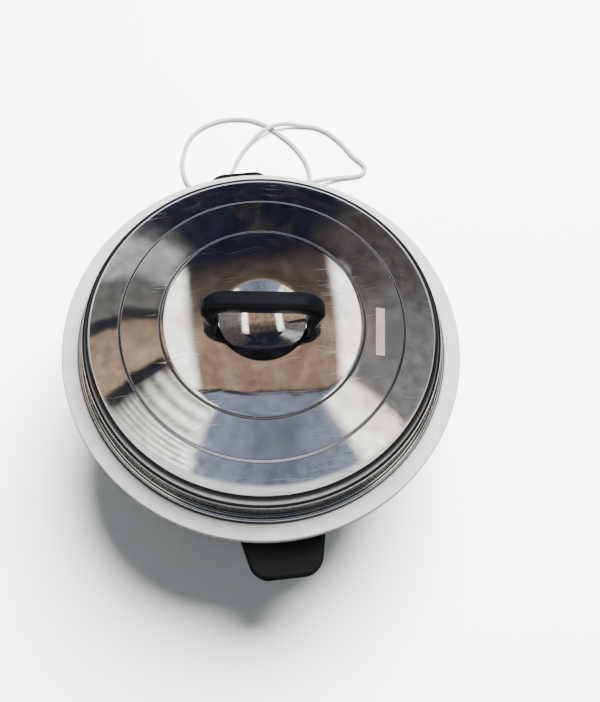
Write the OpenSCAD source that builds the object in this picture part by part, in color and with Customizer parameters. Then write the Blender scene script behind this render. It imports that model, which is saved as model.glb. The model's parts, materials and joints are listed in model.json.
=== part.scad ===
// Salon wax warmer: a heated casing, a lift-out wax pan with a wide flange, and a stepped lid.
// Origin: centre of the base on the table. +Z up, front handle towards -Y, control knob towards +X.

/* [Pan] */
// Height of the pan's flange above the table
rim_z = 140; // [138:1:146]
// Outer radius of the flange
rim_r = 166; // [164:0.5:168]
// Width of the flange's flat ring, with its rounded inner edge
rim_w = 13.5; // [12:0.5:15]
// Depth of the pan below the flange
pan_depth = 88; // [84:1:92]
// Thickness of the pan's wall
pan_t = 1.6; // [1.2:0.1:2]
// Height of the flange's turned-down outer edge
rim_lip_h = 7; // [5:0.5:9]

/* [Lid] */
// Radius to the middle of the lid's rolled edge
lid_bead_r = 149.65; // [149:0.05:149.8]
// Radius of the rolled edge's section
lid_roll_r = 1.85; // [1.5:0.05:2]
// Radius of the lid's upright wall
lid_wall_r = 145.8; // [145:0.1:146]
// Radius of the outer step in the lid
step_1_r = 113.4; // [108:0.1:118]
// Radius of the inner step in the lid
step_2_r = 81.3; // [76:0.1:86]
// Radius of the finger dish under the handle
dish_r = 35.5; // [30:0.5:36]
// Depth of the finger dish
dish_depth = 5.5; // [3:0.5:8]
// Thickness of the lid's sheet
lid_t = 0.8; // [0.6:0.1:1]

/* [Lid handle] */
// Width of the lid handle over its legs
grip_w = 96; // [92:1:100]
// Height of the lid handle
grip_h = 37; // [35:1:44]
// Depth of the lid handle, front to back
grip_d = 15; // [12:0.5:16]
// Thickness of the lid handle's bar
grip_bar = 14; // [12:0.5:15]
// Turn of the lid handle about the upright axis
grip_turn = -7.25; // [-45:0.25:45]

/* [Casing] */
// Radius of the casing at its bottom edge
casing_base_r = 136; // [134:0.5:138]
// Radius of the casing at its top edge
casing_top_r = 150.5; // [150:0.1:151]
// Thickness of the casing's sheet
casing_t = 1.2; // [0.8:0.1:1.5]
// Height of the rubber feet under the base
foot_h = 9.2; // [9:0.1:9.4]

/* [Side handles] */
// Reach of the side handles from the middle of the pot
tab_reach = 189.7; // [186:0.1:194]
// Drop from the flange to the side handles' top face
tab_drop = 28.4; // [26:0.1:32]
// Thickness of the side handles
tab_t = 12; // [9:0.5:14]
// Half width of the side handles under the flange's edge
tab_half_w = 33.7; // [28:0.1:36]

/* [Control] */
// Height of the knob's axis above the table
knob_z = 38; // [36:1:40]
// Radius of the knob
knob_r = 19; // [16:0.5:21]
// Distance of the control panel's face from the middle of the pot
panel_x = 148; // [147:0.5:149]

/* [Cord] */
// Diameter of the supply cord
cord_d = 4.4; // [4.2:0.1:4.6]
// Radius of the coil at the middle of its turns
coil_r = 25; // [24:0.5:27]

/* [Hidden] */
$fn = 96;

gap = 0.3;            // air between parts of different bodies that face each other
hair = 0.05;          // play between fixed parts with curved faces
m4_r = 2;             // shank radius of the M4 screws
m3_r = 1.5;           // shank radius of the M3 screws

// Pan
recess_r = rim_r - rim_w;                    // wall of the recess that the lid's edge sits in
recess_edge_r = 1.6;                         // rounding of the flange's inner edge
ledge_z = rim_z - lid_roll_r - gap;          // ledge that the lid rests on
ledge_low_z = ledge_z - pan_t;
pan_mouth_r = 144.5;
pan_floor_z = rim_z - pan_depth;
pan_floor_t = 2;
pan_low_z = pan_floor_z - pan_floor_t;
pan_corner_r = 20;
pan_foot_r = 128;                            // where the wall's slope would meet the floor corner

// Lid heights, from the flange's top face
shoulder_r = 10;
shoulder_c = [lid_wall_r - shoulder_r, 19.5];
terrace_1_z = 34.9;
terrace_2_low_z = 37.4;
terrace_2_z = 39.9;
crown_edge_z = 41.4;
crown_z = 43;
crown_flat_r = 42;                           // flat out to here, then falling to the inner step
riser_half_w = 1.45;

// Lid handle
grip_foot_in = 36.6;                         // inner edge of a foot, from the handle's middle
grip_foot_out = 46;
grip_screw_x = (grip_foot_in + grip_foot_out) / 2;
grip_corner_r = 19;
grip_gap_r = 9;

// Casing
casing_z0 = foot_h - casing_t;
seal_t = 1;
casing_z1 = ledge_low_z - gap - seal_t - 0.15;
seal_h = 5;
base_lip_r = 122;
base_plate_t = 1.5;
base_top_z = foot_h + base_plate_t;
base_plate_r = casing_base_r - casing_t - 0.6;
foot_ring_r = 104;
foot_r = 11;
base_screw_ring_r = 127.5;

// Heater, from the pan down
plate_top_z = pan_low_z - 0.4;
plate_t = 6;
plate_r = 104;
plate_low_z = plate_top_z - plate_t;
element_ring_r = 80;
element_r = 4;
element_z = plate_low_z - element_r;
element_gap_angle = 40;
clamp_t = 1.5;
clamp_angles = [60, 180, 300];
shield_z = 27;
shield_t = 0.8;
shield_r = 100;
post_ring_r = 92;
post_angles = [30, 150, 270];

// Side handles
tab_top_z = rim_z - tab_drop;
tab_slope = 0.24;                            // the sides close in by this much per millimetre outwards
tab_corner_r = 14;
tab_root_y = 140;
tab_foot_h = 32;
tab_foot_half_w = 34;
tab_foot_y = 154;
tab_screw_x = 22;
tab_screw_z = tab_top_z - 21;
tab_head_r = 4;
tab_head_t = 1.8;

// Control
panel_half_w = 46;
panel_z0 = 10;
panel_z1 = 2 * knob_z - panel_z0;
dial_r = 25;
panel_round = 8;
lamp_y = 33;
knob_x0 = panel_x + 1.6;                     // the knob's skirt turns clear of the dial
knob_h = 15.5;
spindle_r = 3;
bush_r = 5;
thermostat_x = [110, 131];
thermostat_half_w = 16;
thermostat_z0 = 24;
thermostat_z1 = 46;
wire_z = 15;
block_x = 112;                               // middle of the terminal block, out along the gland

// Cord: the end of the gland, then the route on the table, chosen by hand
cord_r = cord_d / 2;
cord_sides = 8;
gland_z = 18;
lie = cord_r;                                // height of the cord's middle where it lies flat
coil_c = [-14, 184];
coil_end_angle = 135;
route = [
    [58, 160, gland_z], [62, 171, gland_z], [66, 183, 14], [71, 198, 7], [77, 217, 2.6],
    [83, 238, lie], [85, 262, lie], [78, 285, lie], [59, 312, lie], [36, 332, lie],
    [9, 339, lie], [-18, 335, lie], [-40, 320, lie], [-51, 297, lie], [-54, 274, lie],
    [-47, 252, lie], [-27, 239, lie], [-7, 250, lie], [3, 273, lie], [21, 300, 3],
    [41, 316, 7], [60, 323, 7], [83, 322, 3], [104, 316, lie], [124, 297, lie],
    [138, 273, lie], [146, 263, lie], [148, 256, lie], [144, 250, lie], [137, 248, lie],
    [119, 247, 3], [100, 244, 6.6], [83, 241, 7], [62, 235, 4], [42, 226, lie],
    [22, 216, lie], [4, 211.4, lie], [coil_c.x, coil_c.y + coil_r + cord_r, lie]];
plug_h = 13.7;
tail_start = concat(coil_c + (coil_r + cord_r) * [cos(coil_end_angle), sin(coil_end_angle)],
    [3 * cord_r]);
plug_turn = coil_end_angle + 90;
tail_l = 20;
tail_end = [tail_start.x + tail_l * cos(plug_turn), tail_start.y + tail_l * sin(plug_turn),
    plug_h / 2];
relief_l = 24;
plug_l = 34;
plug_half_w = 17.6;
pin_half_gap = 9.3;
pin_r = 2;
pin_l = 19;

// ---------- Helpers ----------

// Points of an arc about c, from angle a0 to a1, in n steps
function arc(c, r, a0, a1, n) = [for (i = [0:n]) let (a = a0 + (a1 - a0) * i / n)
    c + r * [cos(a), sin(a)]];

function reversed(list) = [for (i = [len(list) - 1:-1:0]) list[i]];

// Outer radius of the casing at height z
function casing_r(z) = casing_base_r
    + (casing_top_r - casing_base_r) * (z - casing_z0) / (casing_z1 - casing_z0);

// Outer radius of the pan's wall at height z
function pan_wall_r(z) = pan_foot_r
    + (pan_mouth_r + pan_t - pan_foot_r) * (z - pan_low_z) / (ledge_low_z - pan_low_z);

// Smooth curve through the points p: two steps between each pair
function point_at(p, i) = p[max(0, min(len(p) - 1, i))];
function curve_point(p, i, t) = let (a = point_at(p, i - 1), b = point_at(p, i),
    c = point_at(p, i + 1), d = point_at(p, i + 2))
    0.5 * (2 * b + (c - a) * t + (2 * a - 5 * b + 4 * c - d) * t * t
        + (3 * b - a - 3 * c + d) * t * t * t);
function smooth(p) = concat([for (i = [0:len(p) - 2], k = [0, 1]) curve_point(p, i, k / 2)],
    [p[len(p) - 1]]);

function unit(v) = v / norm(v);
function ring_at(p, i, r, n) = let (t = unit(point_at(p, i + 1) - point_at(p, i - 1)),
    side = unit(cross(t, [0, 0, 1])), up = cross(side, t))
    [for (k = [0:n - 1]) p[i] + r * (cos(360 * k / n) * side + sin(360 * k / n) * up)];

// Round tube along the points p
module tube(p, r, n) {
    last = len(p) - 1;
    polyhedron(
        points = [for (i = [0:last], q = ring_at(p, i, r, n)) q],
        faces = concat([[for (k = [0:n - 1]) k]],
            [for (i = [0:last - 1], k = [0:n - 1]) let (a = i * n + k, b = i * n + (k + 1) % n)
                [a, a + n, b + n, b]],
            [[for (k = [n - 1:-1:0]) last * n + k]]));
}

// Cylinder whose axis runs along +X from x0 to x1
module rod_x(r, x0, x1) {
    translate([x0, 0, 0]) rotate([0, 90, 0]) cylinder(r = r, h = x1 - x0);
}

// Cylinder whose axis runs along +Y from y0 to y1
module rod_y(r, y0, y1) {
    translate([0, y0, 0]) rotate([-90, 0, 0]) cylinder(r = r, h = y1 - y0);
}

// Solid cone inside the casing's outer face, grown by extra
module casing_cone(extra, z0, z1) {
    translate([0, 0, z0]) cylinder(r1 = casing_r(z0) + extra, r2 = casing_r(z1) + extra,
        h = z1 - z0);
}

// Children at each angle about the pot's axis, at radius r
module around(angles, r) {
    for (a = angles) rotate([0, 0, a]) translate([r, 0, 0]) children();
}

module at_knob() {
    translate([0, 0, knob_z]) children();
}

module at_lamp() {
    translate([0, lamp_y, knob_z]) children();
}

module at_gland() {
    rotate([0, 0, atan2(route[0].y, route[0].x)]) translate([0, 0, gland_z]) children();
}

module at_plug() {
    translate([tail_end.x, tail_end.y, 0]) rotate([0, 0, plug_turn]) children();
}

module at_tab_screws() {
    for (turn = [0, 180], x = [-tab_screw_x, tab_screw_x]) rotate([0, 0, turn])
        translate([x, 0, tab_screw_z]) children();
}

// Places of the panel's screws as [y, z]
panel_screws_at = [for (y = [-panel_half_w + 7, panel_half_w - 7], z = [panel_z0 + 7, panel_z1 - 7])
    [y, z]];

module at_panel_screws() {
    for (p = panel_screws_at) translate([0, p.x, p.y]) children();
}

module at_grip_screws() {
    rotate([0, 0, grip_turn]) for (x = [-grip_screw_x, grip_screw_x]) translate([x, 0, 0])
        children();
}

// ---------- Casing ----------

module casing_shell() {
    color("silver") difference() {
        casing_cone(0, casing_z0, casing_z1);
        casing_cone(-casing_t, foot_h, casing_z1 + 0.01);
        translate([0, 0, casing_z0 - 1]) cylinder(r = base_lip_r, h = 4);
        at_tab_screws() rod_y(m4_r + 0.3, 130, 160);
        at_knob() rod_x(bush_r + 0.5, 120, 160);
        at_lamp() rod_x(5, 120, 160);
        at_panel_screws() rod_x(m3_r + 0.2, 120, 160);
        at_gland() rod_x(6, 120, 160);
        around([45:90:315], base_screw_ring_r) translate([0, 0, casing_z0 - 1])
            cylinder(r = m3_r + 0.2, h = 4);
    }
}

// Silicone strip that caps the casing's top edge and carries the pan
module casing_seal() {
    inner_r = casing_top_r - casing_t - seal_t;
    outer_r = casing_top_r + seal_t;
    color("dimgray") difference() {
        translate([0, 0, casing_z1 - seal_h]) cylinder(r = outer_r, h = seal_h + seal_t);
        translate([0, 0, casing_z1 - seal_h - 1]) cylinder(r = inner_r, h = seal_h + seal_t + 2);
        difference() {
            casing_cone(hair, casing_z1 - seal_h - 1, casing_z1 + hair);
            casing_cone(-casing_t - hair, casing_z1 - seal_h - 2, casing_z1 + 1);
        }
    }
}

module base_plate() {
    color("gray") difference() {
        translate([0, 0, foot_h]) cylinder(r = base_plate_r, h = base_plate_t);
        around([45:90:315], foot_ring_r) translate([0, 0, foot_h - 1])
            cylinder(r = m4_r + 0.2, h = 4);
        around([45:90:315], base_screw_ring_r) translate([0, 0, foot_h - 1])
            cylinder(r = m3_r + 0.2, h = 4);
        around(post_angles, post_ring_r) translate([0, 0, foot_h - 1])
            cylinder(r = m4_r + 0.2, h = 4);
        around([0:30:330], 60) translate([-8, -1.5, foot_h - 1]) cube([16, 3, 4]);
    }
}

module base_screws() {
    color("silver") around([45:90:315], base_screw_ring_r) {
        translate([0, 0, casing_z0 - 1.8]) cylinder(r = 3, h = 1.8);
        translate([0, 0, casing_z0 - 0.1]) cylinder(r = m3_r, h = 6);
        translate([0, 0, base_top_z]) cylinder(r = 3.2, h = 2.4, $fn = 6);
    }
}

module rubber_feet() {
    color("black") around([45:90:315], foot_ring_r) difference() {
        union() {
            cylinder(r1 = foot_r - 1.5, r2 = foot_r, h = 3);
            translate([0, 0, 3]) cylinder(r = foot_r, h = foot_h - 3);
        }
        translate([0, 0, -1]) cylinder(r = 5, h = 4.5);
        cylinder(r = m4_r + hair, h = foot_h + 1);
    }
}

module foot_screws() {
    color("silver") around([45:90:315], foot_ring_r) {
        translate([0, 0, 1.3]) cylinder(r = 3.6, h = 2.2);
        translate([0, 0, 3.4]) cylinder(r = m4_r, h = base_top_z + 1);
        translate([0, 0, base_top_z]) cylinder(r = 4, h = 3, $fn = 6);
    }
}

// Mineral wool sleeve between the casing and the pan
module insulation_blanket() {
    z0 = 72;
    z1 = 120;
    color("wheat") difference() {
        casing_cone(-casing_t - gap, z0, z1);
        casing_cone(-casing_t - gap - 3, z0 - 1, z1 + 1);
        at_tab_screws() rod_y(6, 130, 160);
    }
}

// ---------- Side handles ----------

// Outline of a side handle, reaching out along +Y
function tab_outline() = let (lean = atan(tab_slope), c_y = tab_reach - tab_corner_r,
    c_x = tab_half_w - tab_slope * (c_y - (rim_r - 6.4)) - tab_corner_r / cos(lean),
    side = arc([c_x, c_y], tab_corner_r, lean, 90, 8),
    root_x = tab_half_w + tab_slope * (rim_r - 6.4 - tab_root_y))
    concat([[root_x, tab_root_y]], side, reversed([for (p = side) [-p.x, p.y]]),
        [[-root_x, tab_root_y]]);

module side_handle(turn) {
    color("#1e2123") rotate([0, 0, turn]) difference() {
        union() {
            translate([0, 0, tab_top_z - tab_t]) linear_extrude(tab_t) polygon(tab_outline());
            translate([-tab_foot_half_w, tab_root_y, tab_top_z - tab_foot_h + 4])
                cube([2 * tab_foot_half_w, tab_foot_y - tab_root_y, tab_foot_h]);
        }
        casing_cone(hair, 60, casing_z1);
        for (x = [-tab_screw_x, tab_screw_x]) translate([x, 0, tab_screw_z])
            rod_y(m4_r + hair, 130, tab_foot_y - 2);
        // hollow under the grip for the fingertips
        translate([-20, 161, tab_top_z - tab_t - 1]) cube([40, 16, 5]);
    }
}

module side_handle_front() {
    side_handle(180);
}

module side_handle_rear() {
    side_handle(0);
}

module handle_screws() {
    wall_r = casing_r(tab_screw_z - tab_head_r) - casing_t;
    wall_y = sqrt(pow(wall_r, 2) - pow(tab_screw_x + tab_head_r, 2)) - 0.2;
    color("silver") at_tab_screws() {
        rod_y(tab_head_r, wall_y - tab_head_t, wall_y);
        rod_y(m4_r, wall_y - 0.1, tab_foot_y - 3);
    }
}

// ---------- Heater ----------

module heating_plate() {
    color("lightgray") difference() {
        translate([0, 0, plate_low_z]) cylinder(r = plate_r, h = plate_t);
        around(clamp_angles, element_ring_r) for (x = [-10, 10]) translate([x, 0, plate_low_z - 1])
            cylinder(r = m4_r + hair, h = 5);
        around(post_angles, post_ring_r) translate([0, 0, plate_low_z - 1])
            cylinder(r = m4_r + hair, h = 5);
    }
}

// Tubular element: an open ring with its two ends turned down
module heating_element() {
    color("dimgray") {
        rotate([0, 0, element_gap_angle / 2]) translate([0, 0, element_z])
            rotate_extrude(angle = 360 - element_gap_angle) translate([element_ring_r, 0])
                circle(r = element_r, $fn = 32);
        around([-element_gap_angle / 2, element_gap_angle / 2], element_ring_r)
            translate([0, 0, 30]) cylinder(r = 2, h = element_z - 30);
        around([-element_gap_angle / 2, element_gap_angle / 2], element_ring_r)
            translate([0, 0, element_z]) sphere(r = element_r, $fn = 32);
    }
}

module element_clamps() {
    color("silver") around(clamp_angles, element_ring_r) difference() {
        translate([-14, -6, element_z - element_r - clamp_t]) cube([28, 12, clamp_t]);
        for (x = [-10, 10]) translate([x, 0, element_z - element_r - clamp_t - 1])
            cylinder(r = m4_r + 0.2, h = clamp_t + 2);
    }
}

module clamp_screws() {
    low_z = element_z - element_r - clamp_t;
    color("silver") around(clamp_angles, element_ring_r) for (x = [-10, 10])
        translate([x, 0, low_z]) {
            translate([0, 0, -2.2]) cylinder(r = 3.6, h = 2.2);
            translate([0, 0, -0.1]) cylinder(r = m4_r, h = plate_low_z - low_z + 3);
        }
}

module heat_shield() {
    color("silver") difference() {
        translate([0, 0, shield_z]) cylinder(r = shield_r, h = shield_t);
        around(post_angles, post_ring_r) translate([0, 0, shield_z - 1])
            cylinder(r = 4.2, h = 3);
    }
}

module plate_posts() {
    color("gainsboro") around(post_angles, post_ring_r) difference() {
        union() {
            translate([0, 0, base_top_z]) cylinder(r = 6, h = shield_z - base_top_z);
            translate([0, 0, base_top_z]) cylinder(r = 4, h = plate_low_z - base_top_z);
        }
        translate([0, 0, base_top_z - 1]) cylinder(r = m4_r + hair, h = 13);
        translate([0, 0, plate_low_z - 9]) cylinder(r = m4_r + hair, h = 12);
    }
}

// Screws up through the base into the posts, and studs from the posts into the plate
module post_screws() {
    color("silver") around(post_angles, post_ring_r) {
        translate([0, 0, foot_h - 2.2]) cylinder(r = 3.6, h = 2.2);
        translate([0, 0, foot_h - 0.1]) cylinder(r = m4_r, h = 11);
        translate([0, 0, plate_low_z - 8]) cylinder(r = m4_r, h = 11);
    }
}

// Liquid-filled bulb of the thermostat, against the plate's underside
module sensor_bulb() {
    color("peru") translate([-30, 40, plate_low_z - 3]) rod_x(3, 0, 60);
}

// Fine tube from the bulb to the thermostat
module sensor_capillary() {
    r = 0.9;
    bulb_z = plate_low_z - 3;
    z = element_z - element_r - 2.6;
    drop_x = 33;
    turn_x = 107;
    bend = 12;
    color("peru") {
        translate([0, 40, bulb_z]) rod_x(r, 30, drop_x);
        translate([drop_x, 40, bulb_z]) sphere(r = r, $fn = 24);
        translate([drop_x, 40, z]) cylinder(r = r, h = bulb_z - z);
        translate([drop_x, 40, z]) sphere(r = r, $fn = 24);
        translate([0, 40, z]) rod_x(r, drop_x, turn_x - bend);
        translate([turn_x - bend, 40 - bend, z]) rotate_extrude(angle = 90) translate([bend, 0])
            circle(r = r, $fn = 24);
        translate([turn_x, 6, z]) rod_y(r, 0, 40 - bend - 6);
        translate([turn_x, 6, z]) sphere(r = r, $fn = 24);
        translate([0, 6, z]) rod_x(r, turn_x, thermostat_x[0]);
    }
}

// One-shot fuse that opens if the plate overheats
module thermal_fuse() {
    color("ivory") translate([0, -40, plate_low_z - 3]) {
        rod_x(3, -9, 9);
        rod_x(0.8, -22, 22);
    }
}

// ---------- Control ----------

module panel_outline() {
    square([2 * (panel_half_w - panel_round), panel_z1 - panel_z0], center = true);
    square([2 * panel_half_w, panel_z1 - panel_z0 - 2 * panel_round], center = true);
    for (x = [-1, 1], y = [-1, 1])
        translate([x * (panel_half_w - panel_round), y * ((panel_z1 - panel_z0) / 2 - panel_round)])
            circle(r = panel_round);
}

module control_panel() {
    color("#26282a") difference() {
        translate([115, 0, (panel_z0 + panel_z1) / 2]) rotate([90, 0, 90])
            linear_extrude(panel_x - 115) panel_outline();
        casing_cone(hair, 5, 80);
        at_knob() rod_x(bush_r + 0.5, 110, 160);
        at_knob() rod_x(10, panel_x - 3, 160);
        at_lamp() rod_x(5, 110, 160);
        at_panel_screws() rod_x(m3_r + hair, 110, panel_x - 3);
    }
}

// Screws from inside the casing into the back of the panel
module panel_screws() {
    color("silver") for (p = panel_screws_at) translate([0, p.x, p.y]) {
        wall_x = sqrt(pow(casing_r(p.y) - casing_t, 2) - pow(abs(p.x) + 2.8, 2)) - 0.4;
        rod_x(m3_r, wall_x - 0.1, panel_x - 3.5);
        rod_x(2.8, wall_x - 1.6, wall_x);
    }
}

// Ring with raised marks round the knob
module dial_plate() {
    color("gainsboro") difference() {
        union() {
            at_knob() rod_x(dial_r, panel_x, panel_x + 0.6);
            at_knob() for (a = [0:30:270]) rotate([a - 225, 0, 0]) translate([panel_x, -0.6, dial_r - 4.5])
                cube([1, 1.2, a % 90 == 0 ? 4 : 2.5]);
        }
        at_knob() rod_x(11, panel_x - 1, panel_x + 2);
    }
}

module thermostat_body() {
    color("linen") difference() {
        union() {
            translate([thermostat_x[0], -thermostat_half_w, thermostat_z0])
                cube([thermostat_x[1] - thermostat_x[0], 2 * thermostat_half_w,
                    thermostat_z1 - thermostat_z0]);
            at_knob() rod_x(bush_r, thermostat_x[1] - 0.1, panel_x - 0.2);
        }
        at_knob() rod_x(spindle_r + hair, thermostat_x[0] + 4, 160);
    }
}

module thermostat_nut() {
    color("silver") difference() {
        translate([panel_x - 3, 0, knob_z]) rotate([0, 90, 0]) cylinder(r = 8, h = 2.2, $fn = 6);
        at_knob() rod_x(bush_r + hair, panel_x - 4, panel_x);
    }
}

module pilot_lamp_lens() {
    dome = arc([0, -1], 6, 19.5, 90, 6);
    color("red") at_lamp() translate([panel_x, 0, 0]) rotate([0, 90, 0]) rotate_extrude()
        polygon(concat([[0, 1], [3.4, 1], [3.4, -6], [4.95, -6], [4.95, 0], [6.4, 0], [6.4, 1]],
            [for (p = dome) [max(0, p.x), p.y]]));
}

module pilot_lamp_body() {
    color("white") at_lamp() {
        rod_x(3.3, panel_x - 5, panel_x + 0.5);
        rod_x(4.9, 122, panel_x - 6.1);
        rod_x(3.3, panel_x - 6.2, panel_x - 4.9);
    }
}

module control_knob() {
    color("#1c1c1e") at_knob() difference() {
        union() {
            rod_x(knob_r, knob_x0, knob_x0 + 4);
            translate([knob_x0 + 4, 0, 0]) rotate([0, 90, 0])
                cylinder(r1 = knob_r - 3, r2 = knob_r - 4.5, h = knob_h - 4);
        }
        rod_x(spindle_r, knob_x0 - 1, knob_x0 + 11);
        // two scoops leave a bar to hold between finger and thumb
        for (side = [-1, 1]) translate([knob_x0 + 6, side > 0 ? 5 : -25, -25]) cube([20, 20, 50]);
    }
}

module knob_pointer() {
    color("white") at_knob() translate([knob_x0 + knob_h, -0.8, 3]) cube([0.5, 1.6, 10]);
}

module knob_spindle() {
    color("silver") at_knob() rod_x(spindle_r, thermostat_x[0] + 5, knob_x0 + 11);
}

// ---------- Wiring ----------

module terminal_block() {
    color("ivory") at_gland() translate([0, 0, base_top_z - gland_z]) difference() {
        translate([block_x - 7, -15, 0]) cube([14, 30, 13]);
        for (y = [-9, 0, 9]) translate([block_x, y, 8]) cylinder(r = 2.5, h = 8);
    }
}

module terminal_screws() {
    color("gold") at_gland() for (y = [-9, 0, 9])
        translate([block_x, y, base_top_z - gland_z + 8]) cylinder(r = 2.4, h = 4);
}

// Wire that follows the casing at radius r and height z, between two angles
module wire_arc(r, z, a0, a1) {
    rotate([0, 0, a0]) translate([0, 0, z]) rotate_extrude(angle = a1 - a0) translate([r, 0])
        circle(r = 1.2, $fn = 24);
}

module internal_wires() {
    // mains to the thermostat, to the lamp, and back from the element
    color("firebrick") wire_arc(119, wire_z, 10, 61);
    color("royalblue") wire_arc(123.6, wire_z, 16, 76);
    color("forestgreen") wire_arc(117, wire_z, 79, 120);
    color("royalblue") wire_arc(104.5, wire_z + 3, -28, 16);
}

module earth_stud() {
    color("gold") rotate([0, 0, 122]) translate([117, 0, base_top_z]) {
        cylinder(r = 2, h = 12);
        cylinder(r = 4, h = 3, $fn = 6);
    }
}

// Strain relief: a collar in the casing's wall and a tapered sleeve outside it
module cord_gland() {
    start = casing_r(gland_z);
    exit_r = norm([route[0].x, route[0].y]);
    color("white") at_gland() {
        rod_x(5.9, 128, start + 3);
        rod_x(9, start + 2.5, start + 5.5);
        translate([start + 5, 0, 0]) rotate([0, 90, 0])
            cylinder(r1 = 5.6, r2 = 3.2, h = exit_r - start - 5);
    }
}

module supply_cord() {
    color("whitesmoke") tube(smooth(route), cord_r, cord_sides);
}

module cord_coil() {
    color("whitesmoke") translate([coil_c.x, coil_c.y, 0]) rotate_extrude()
        translate([coil_r - cord_d, 0]) square([2 * cord_d, 2 * cord_d]);
}

module cord_tail() {
    color("whitesmoke") tube([tail_start, 0.5 * (tail_start + tail_end), tail_end], cord_r, cord_sides);
}

function plug_outline() = let (l = relief_l + plug_l, w = plug_half_w)
    [[relief_l, 5], [relief_l + 8, 11], [relief_l + 17, w], [l, w],
        [l, -w], [relief_l + 17, -w], [relief_l + 8, -11], [relief_l, -5]];

module plug_body() {
    color("white") at_plug() {
        linear_extrude(plug_h) polygon(plug_outline());
        translate([0, 0, plug_h / 2]) rotate([0, 90, 0])
            cylinder(r1 = cord_r + 0.7, r2 = 5, h = relief_l + 1);
    }
}

module plug_pins() {
    face = relief_l + plug_l;
    color("silver") at_plug() for (y = [-pin_half_gap, pin_half_gap])
        translate([0, y, plug_h / 2]) rod_x(pin_r, face, face + pin_l);
}

// ---------- Pan ----------

// Half section of the pan's wall and floor, as one closed outline
function pan_outline() = let (
    lean = atan((pan_mouth_r + pan_t - pan_foot_r) / (ledge_low_z - pan_low_z)),
    c_z = pan_low_z + pan_corner_r,
    c_r = pan_wall_r(c_z) - pan_corner_r / cos(lean))
    concat(
        [[0, pan_low_z]],
        arc([c_r, c_z], pan_corner_r, -90, -lean, 8),
        [[pan_mouth_r + pan_t, ledge_low_z], [pan_mouth_r, ledge_low_z]],
        arc([c_r, c_z], pan_corner_r - pan_floor_t, -lean, -90, 8),
        [[0, pan_floor_z]]);

module wax_pan() {
    color("lightgray") rotate_extrude() polygon(pan_outline());
}

// Half section of the ring welded on the pan: ledge for the lid, recess wall, flange and its
// turned-down edge
function pan_rim_outline() = let (lip_z = rim_z - rim_lip_h)
    concat(
        [[pan_mouth_r, ledge_low_z], [recess_r + pan_t, ledge_low_z],
            [recess_r + pan_t, rim_z - pan_t], [rim_r - pan_t, rim_z - pan_t],
            [rim_r - pan_t, lip_z], [rim_r, lip_z]],
        arc([rim_r - 1.2, rim_z - 1.2], 1.2, 0, 90, 4),
        arc([recess_r + recess_edge_r, rim_z - recess_edge_r], recess_edge_r, 90, 180, 6),
        [[recess_r, ledge_z]],
        arc([pan_mouth_r + 1.5, ledge_z - 1.5], 1.5, 90, 180, 4));

module pan_rim() {
    color("silver") rotate_extrude() polygon(pan_rim_outline());
}

// ---------- Lid ----------

// Section of the lid's sheet from the middle out, lowered by t, with z from the flange's top
function lid_line(t) = let (
    bowl_r = (pow(dish_r - 2, 2) + pow(dish_depth - 0.5, 2)) / (2 * (dish_depth - 0.5)),
    bowl_top = asin((dish_r - 2) / bowl_r))
    concat(
        [[0, crown_z - dish_depth - t]],
        arc([0, crown_z - dish_depth + bowl_r - t], bowl_r, -90 + bowl_top / 5, -90 + bowl_top, 4),
        [[dish_r - 0.7, crown_z - 0.15 - t], [dish_r + 0.6, crown_z - t]],
        [for (i = [0:6]) let (r = crown_flat_r + (step_2_r - riser_half_w - crown_flat_r) * i / 6)
            [r, crown_z - (crown_z - crown_edge_z) * pow(i / 6, 2) - t]],
        [[step_2_r - 0.5, crown_edge_z - 0.4 - t],
            [step_2_r + 0.5, terrace_2_z + 0.3 - t],
            [step_2_r + riser_half_w, terrace_2_z - t],
            [step_1_r - riser_half_w, terrace_2_low_z - t],
            [step_1_r - 0.5, terrace_2_low_z - 0.5 - t],
            [step_1_r + 0.5, terrace_1_z + 0.4 - t],
            [step_1_r + riser_half_w, terrace_1_z - t]],
        arc(shoulder_c, shoulder_r - t, 76, 0, 8),
        [[lid_wall_r - t, 2.4 - t / 2], [lid_wall_r + 1.2 - t, 1 - t]]);

module lid_shell() {
    color("#b9bcc0") difference() {
        translate([0, 0, rim_z]) rotate_extrude() {
            polygon(concat(lid_line(0), [[lid_bead_r - 0.5, 0.6], [lid_bead_r - 0.5, 0.6 - lid_t]],
                reversed(lid_line(lid_t))));
            translate([lid_bead_r, 0]) circle(r = lid_roll_r, $fn = 48);
        }
        at_grip_screws() translate([0, 0, rim_z + 30]) cylinder(r = m4_r + 0.2, h = 20);
    }
}

// Front outline of the lid handle, standing on y = 0
function grip_outline() = let (w = grip_w / 2, top = grip_h, gap_w = grip_foot_in - 1,
    gap_top = grip_h - grip_bar,
    right = concat([[grip_foot_out, 0], [w, 14]],
        arc([w - grip_corner_r, top - grip_corner_r], grip_corner_r, 0, 90, 8)),
    gap_side = concat(arc([gap_w - grip_gap_r, gap_top - grip_gap_r], grip_gap_r, 90, 0, 6),
        [[grip_foot_in, 0]]))
    concat(right, reversed([for (p = right) [-p.x, p.y]]),
        reversed([for (p = gap_side) [-p.x, p.y]]), gap_side);

module lid_handle() {
    z = rim_z + crown_z + 0.05;
    color("#17181a") difference() {
        translate([0, 0, z]) rotate([90, 0, grip_turn]) translate([0, 0, -grip_d / 2])
            linear_extrude(grip_d) polygon(grip_outline());
        at_grip_screws() translate([0, 0, z - 1]) cylinder(r = m4_r + hair, h = 14);
    }
}

module lid_handle_washers() {
    color("silver") at_grip_screws() translate([0, 0, rim_z + crown_z - lid_t - 1.05])
        difference() {
            cylinder(r = 5, h = 1);
            translate([0, 0, -1]) cylinder(r = m4_r + 0.2, h = 3);
        }
}

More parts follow.
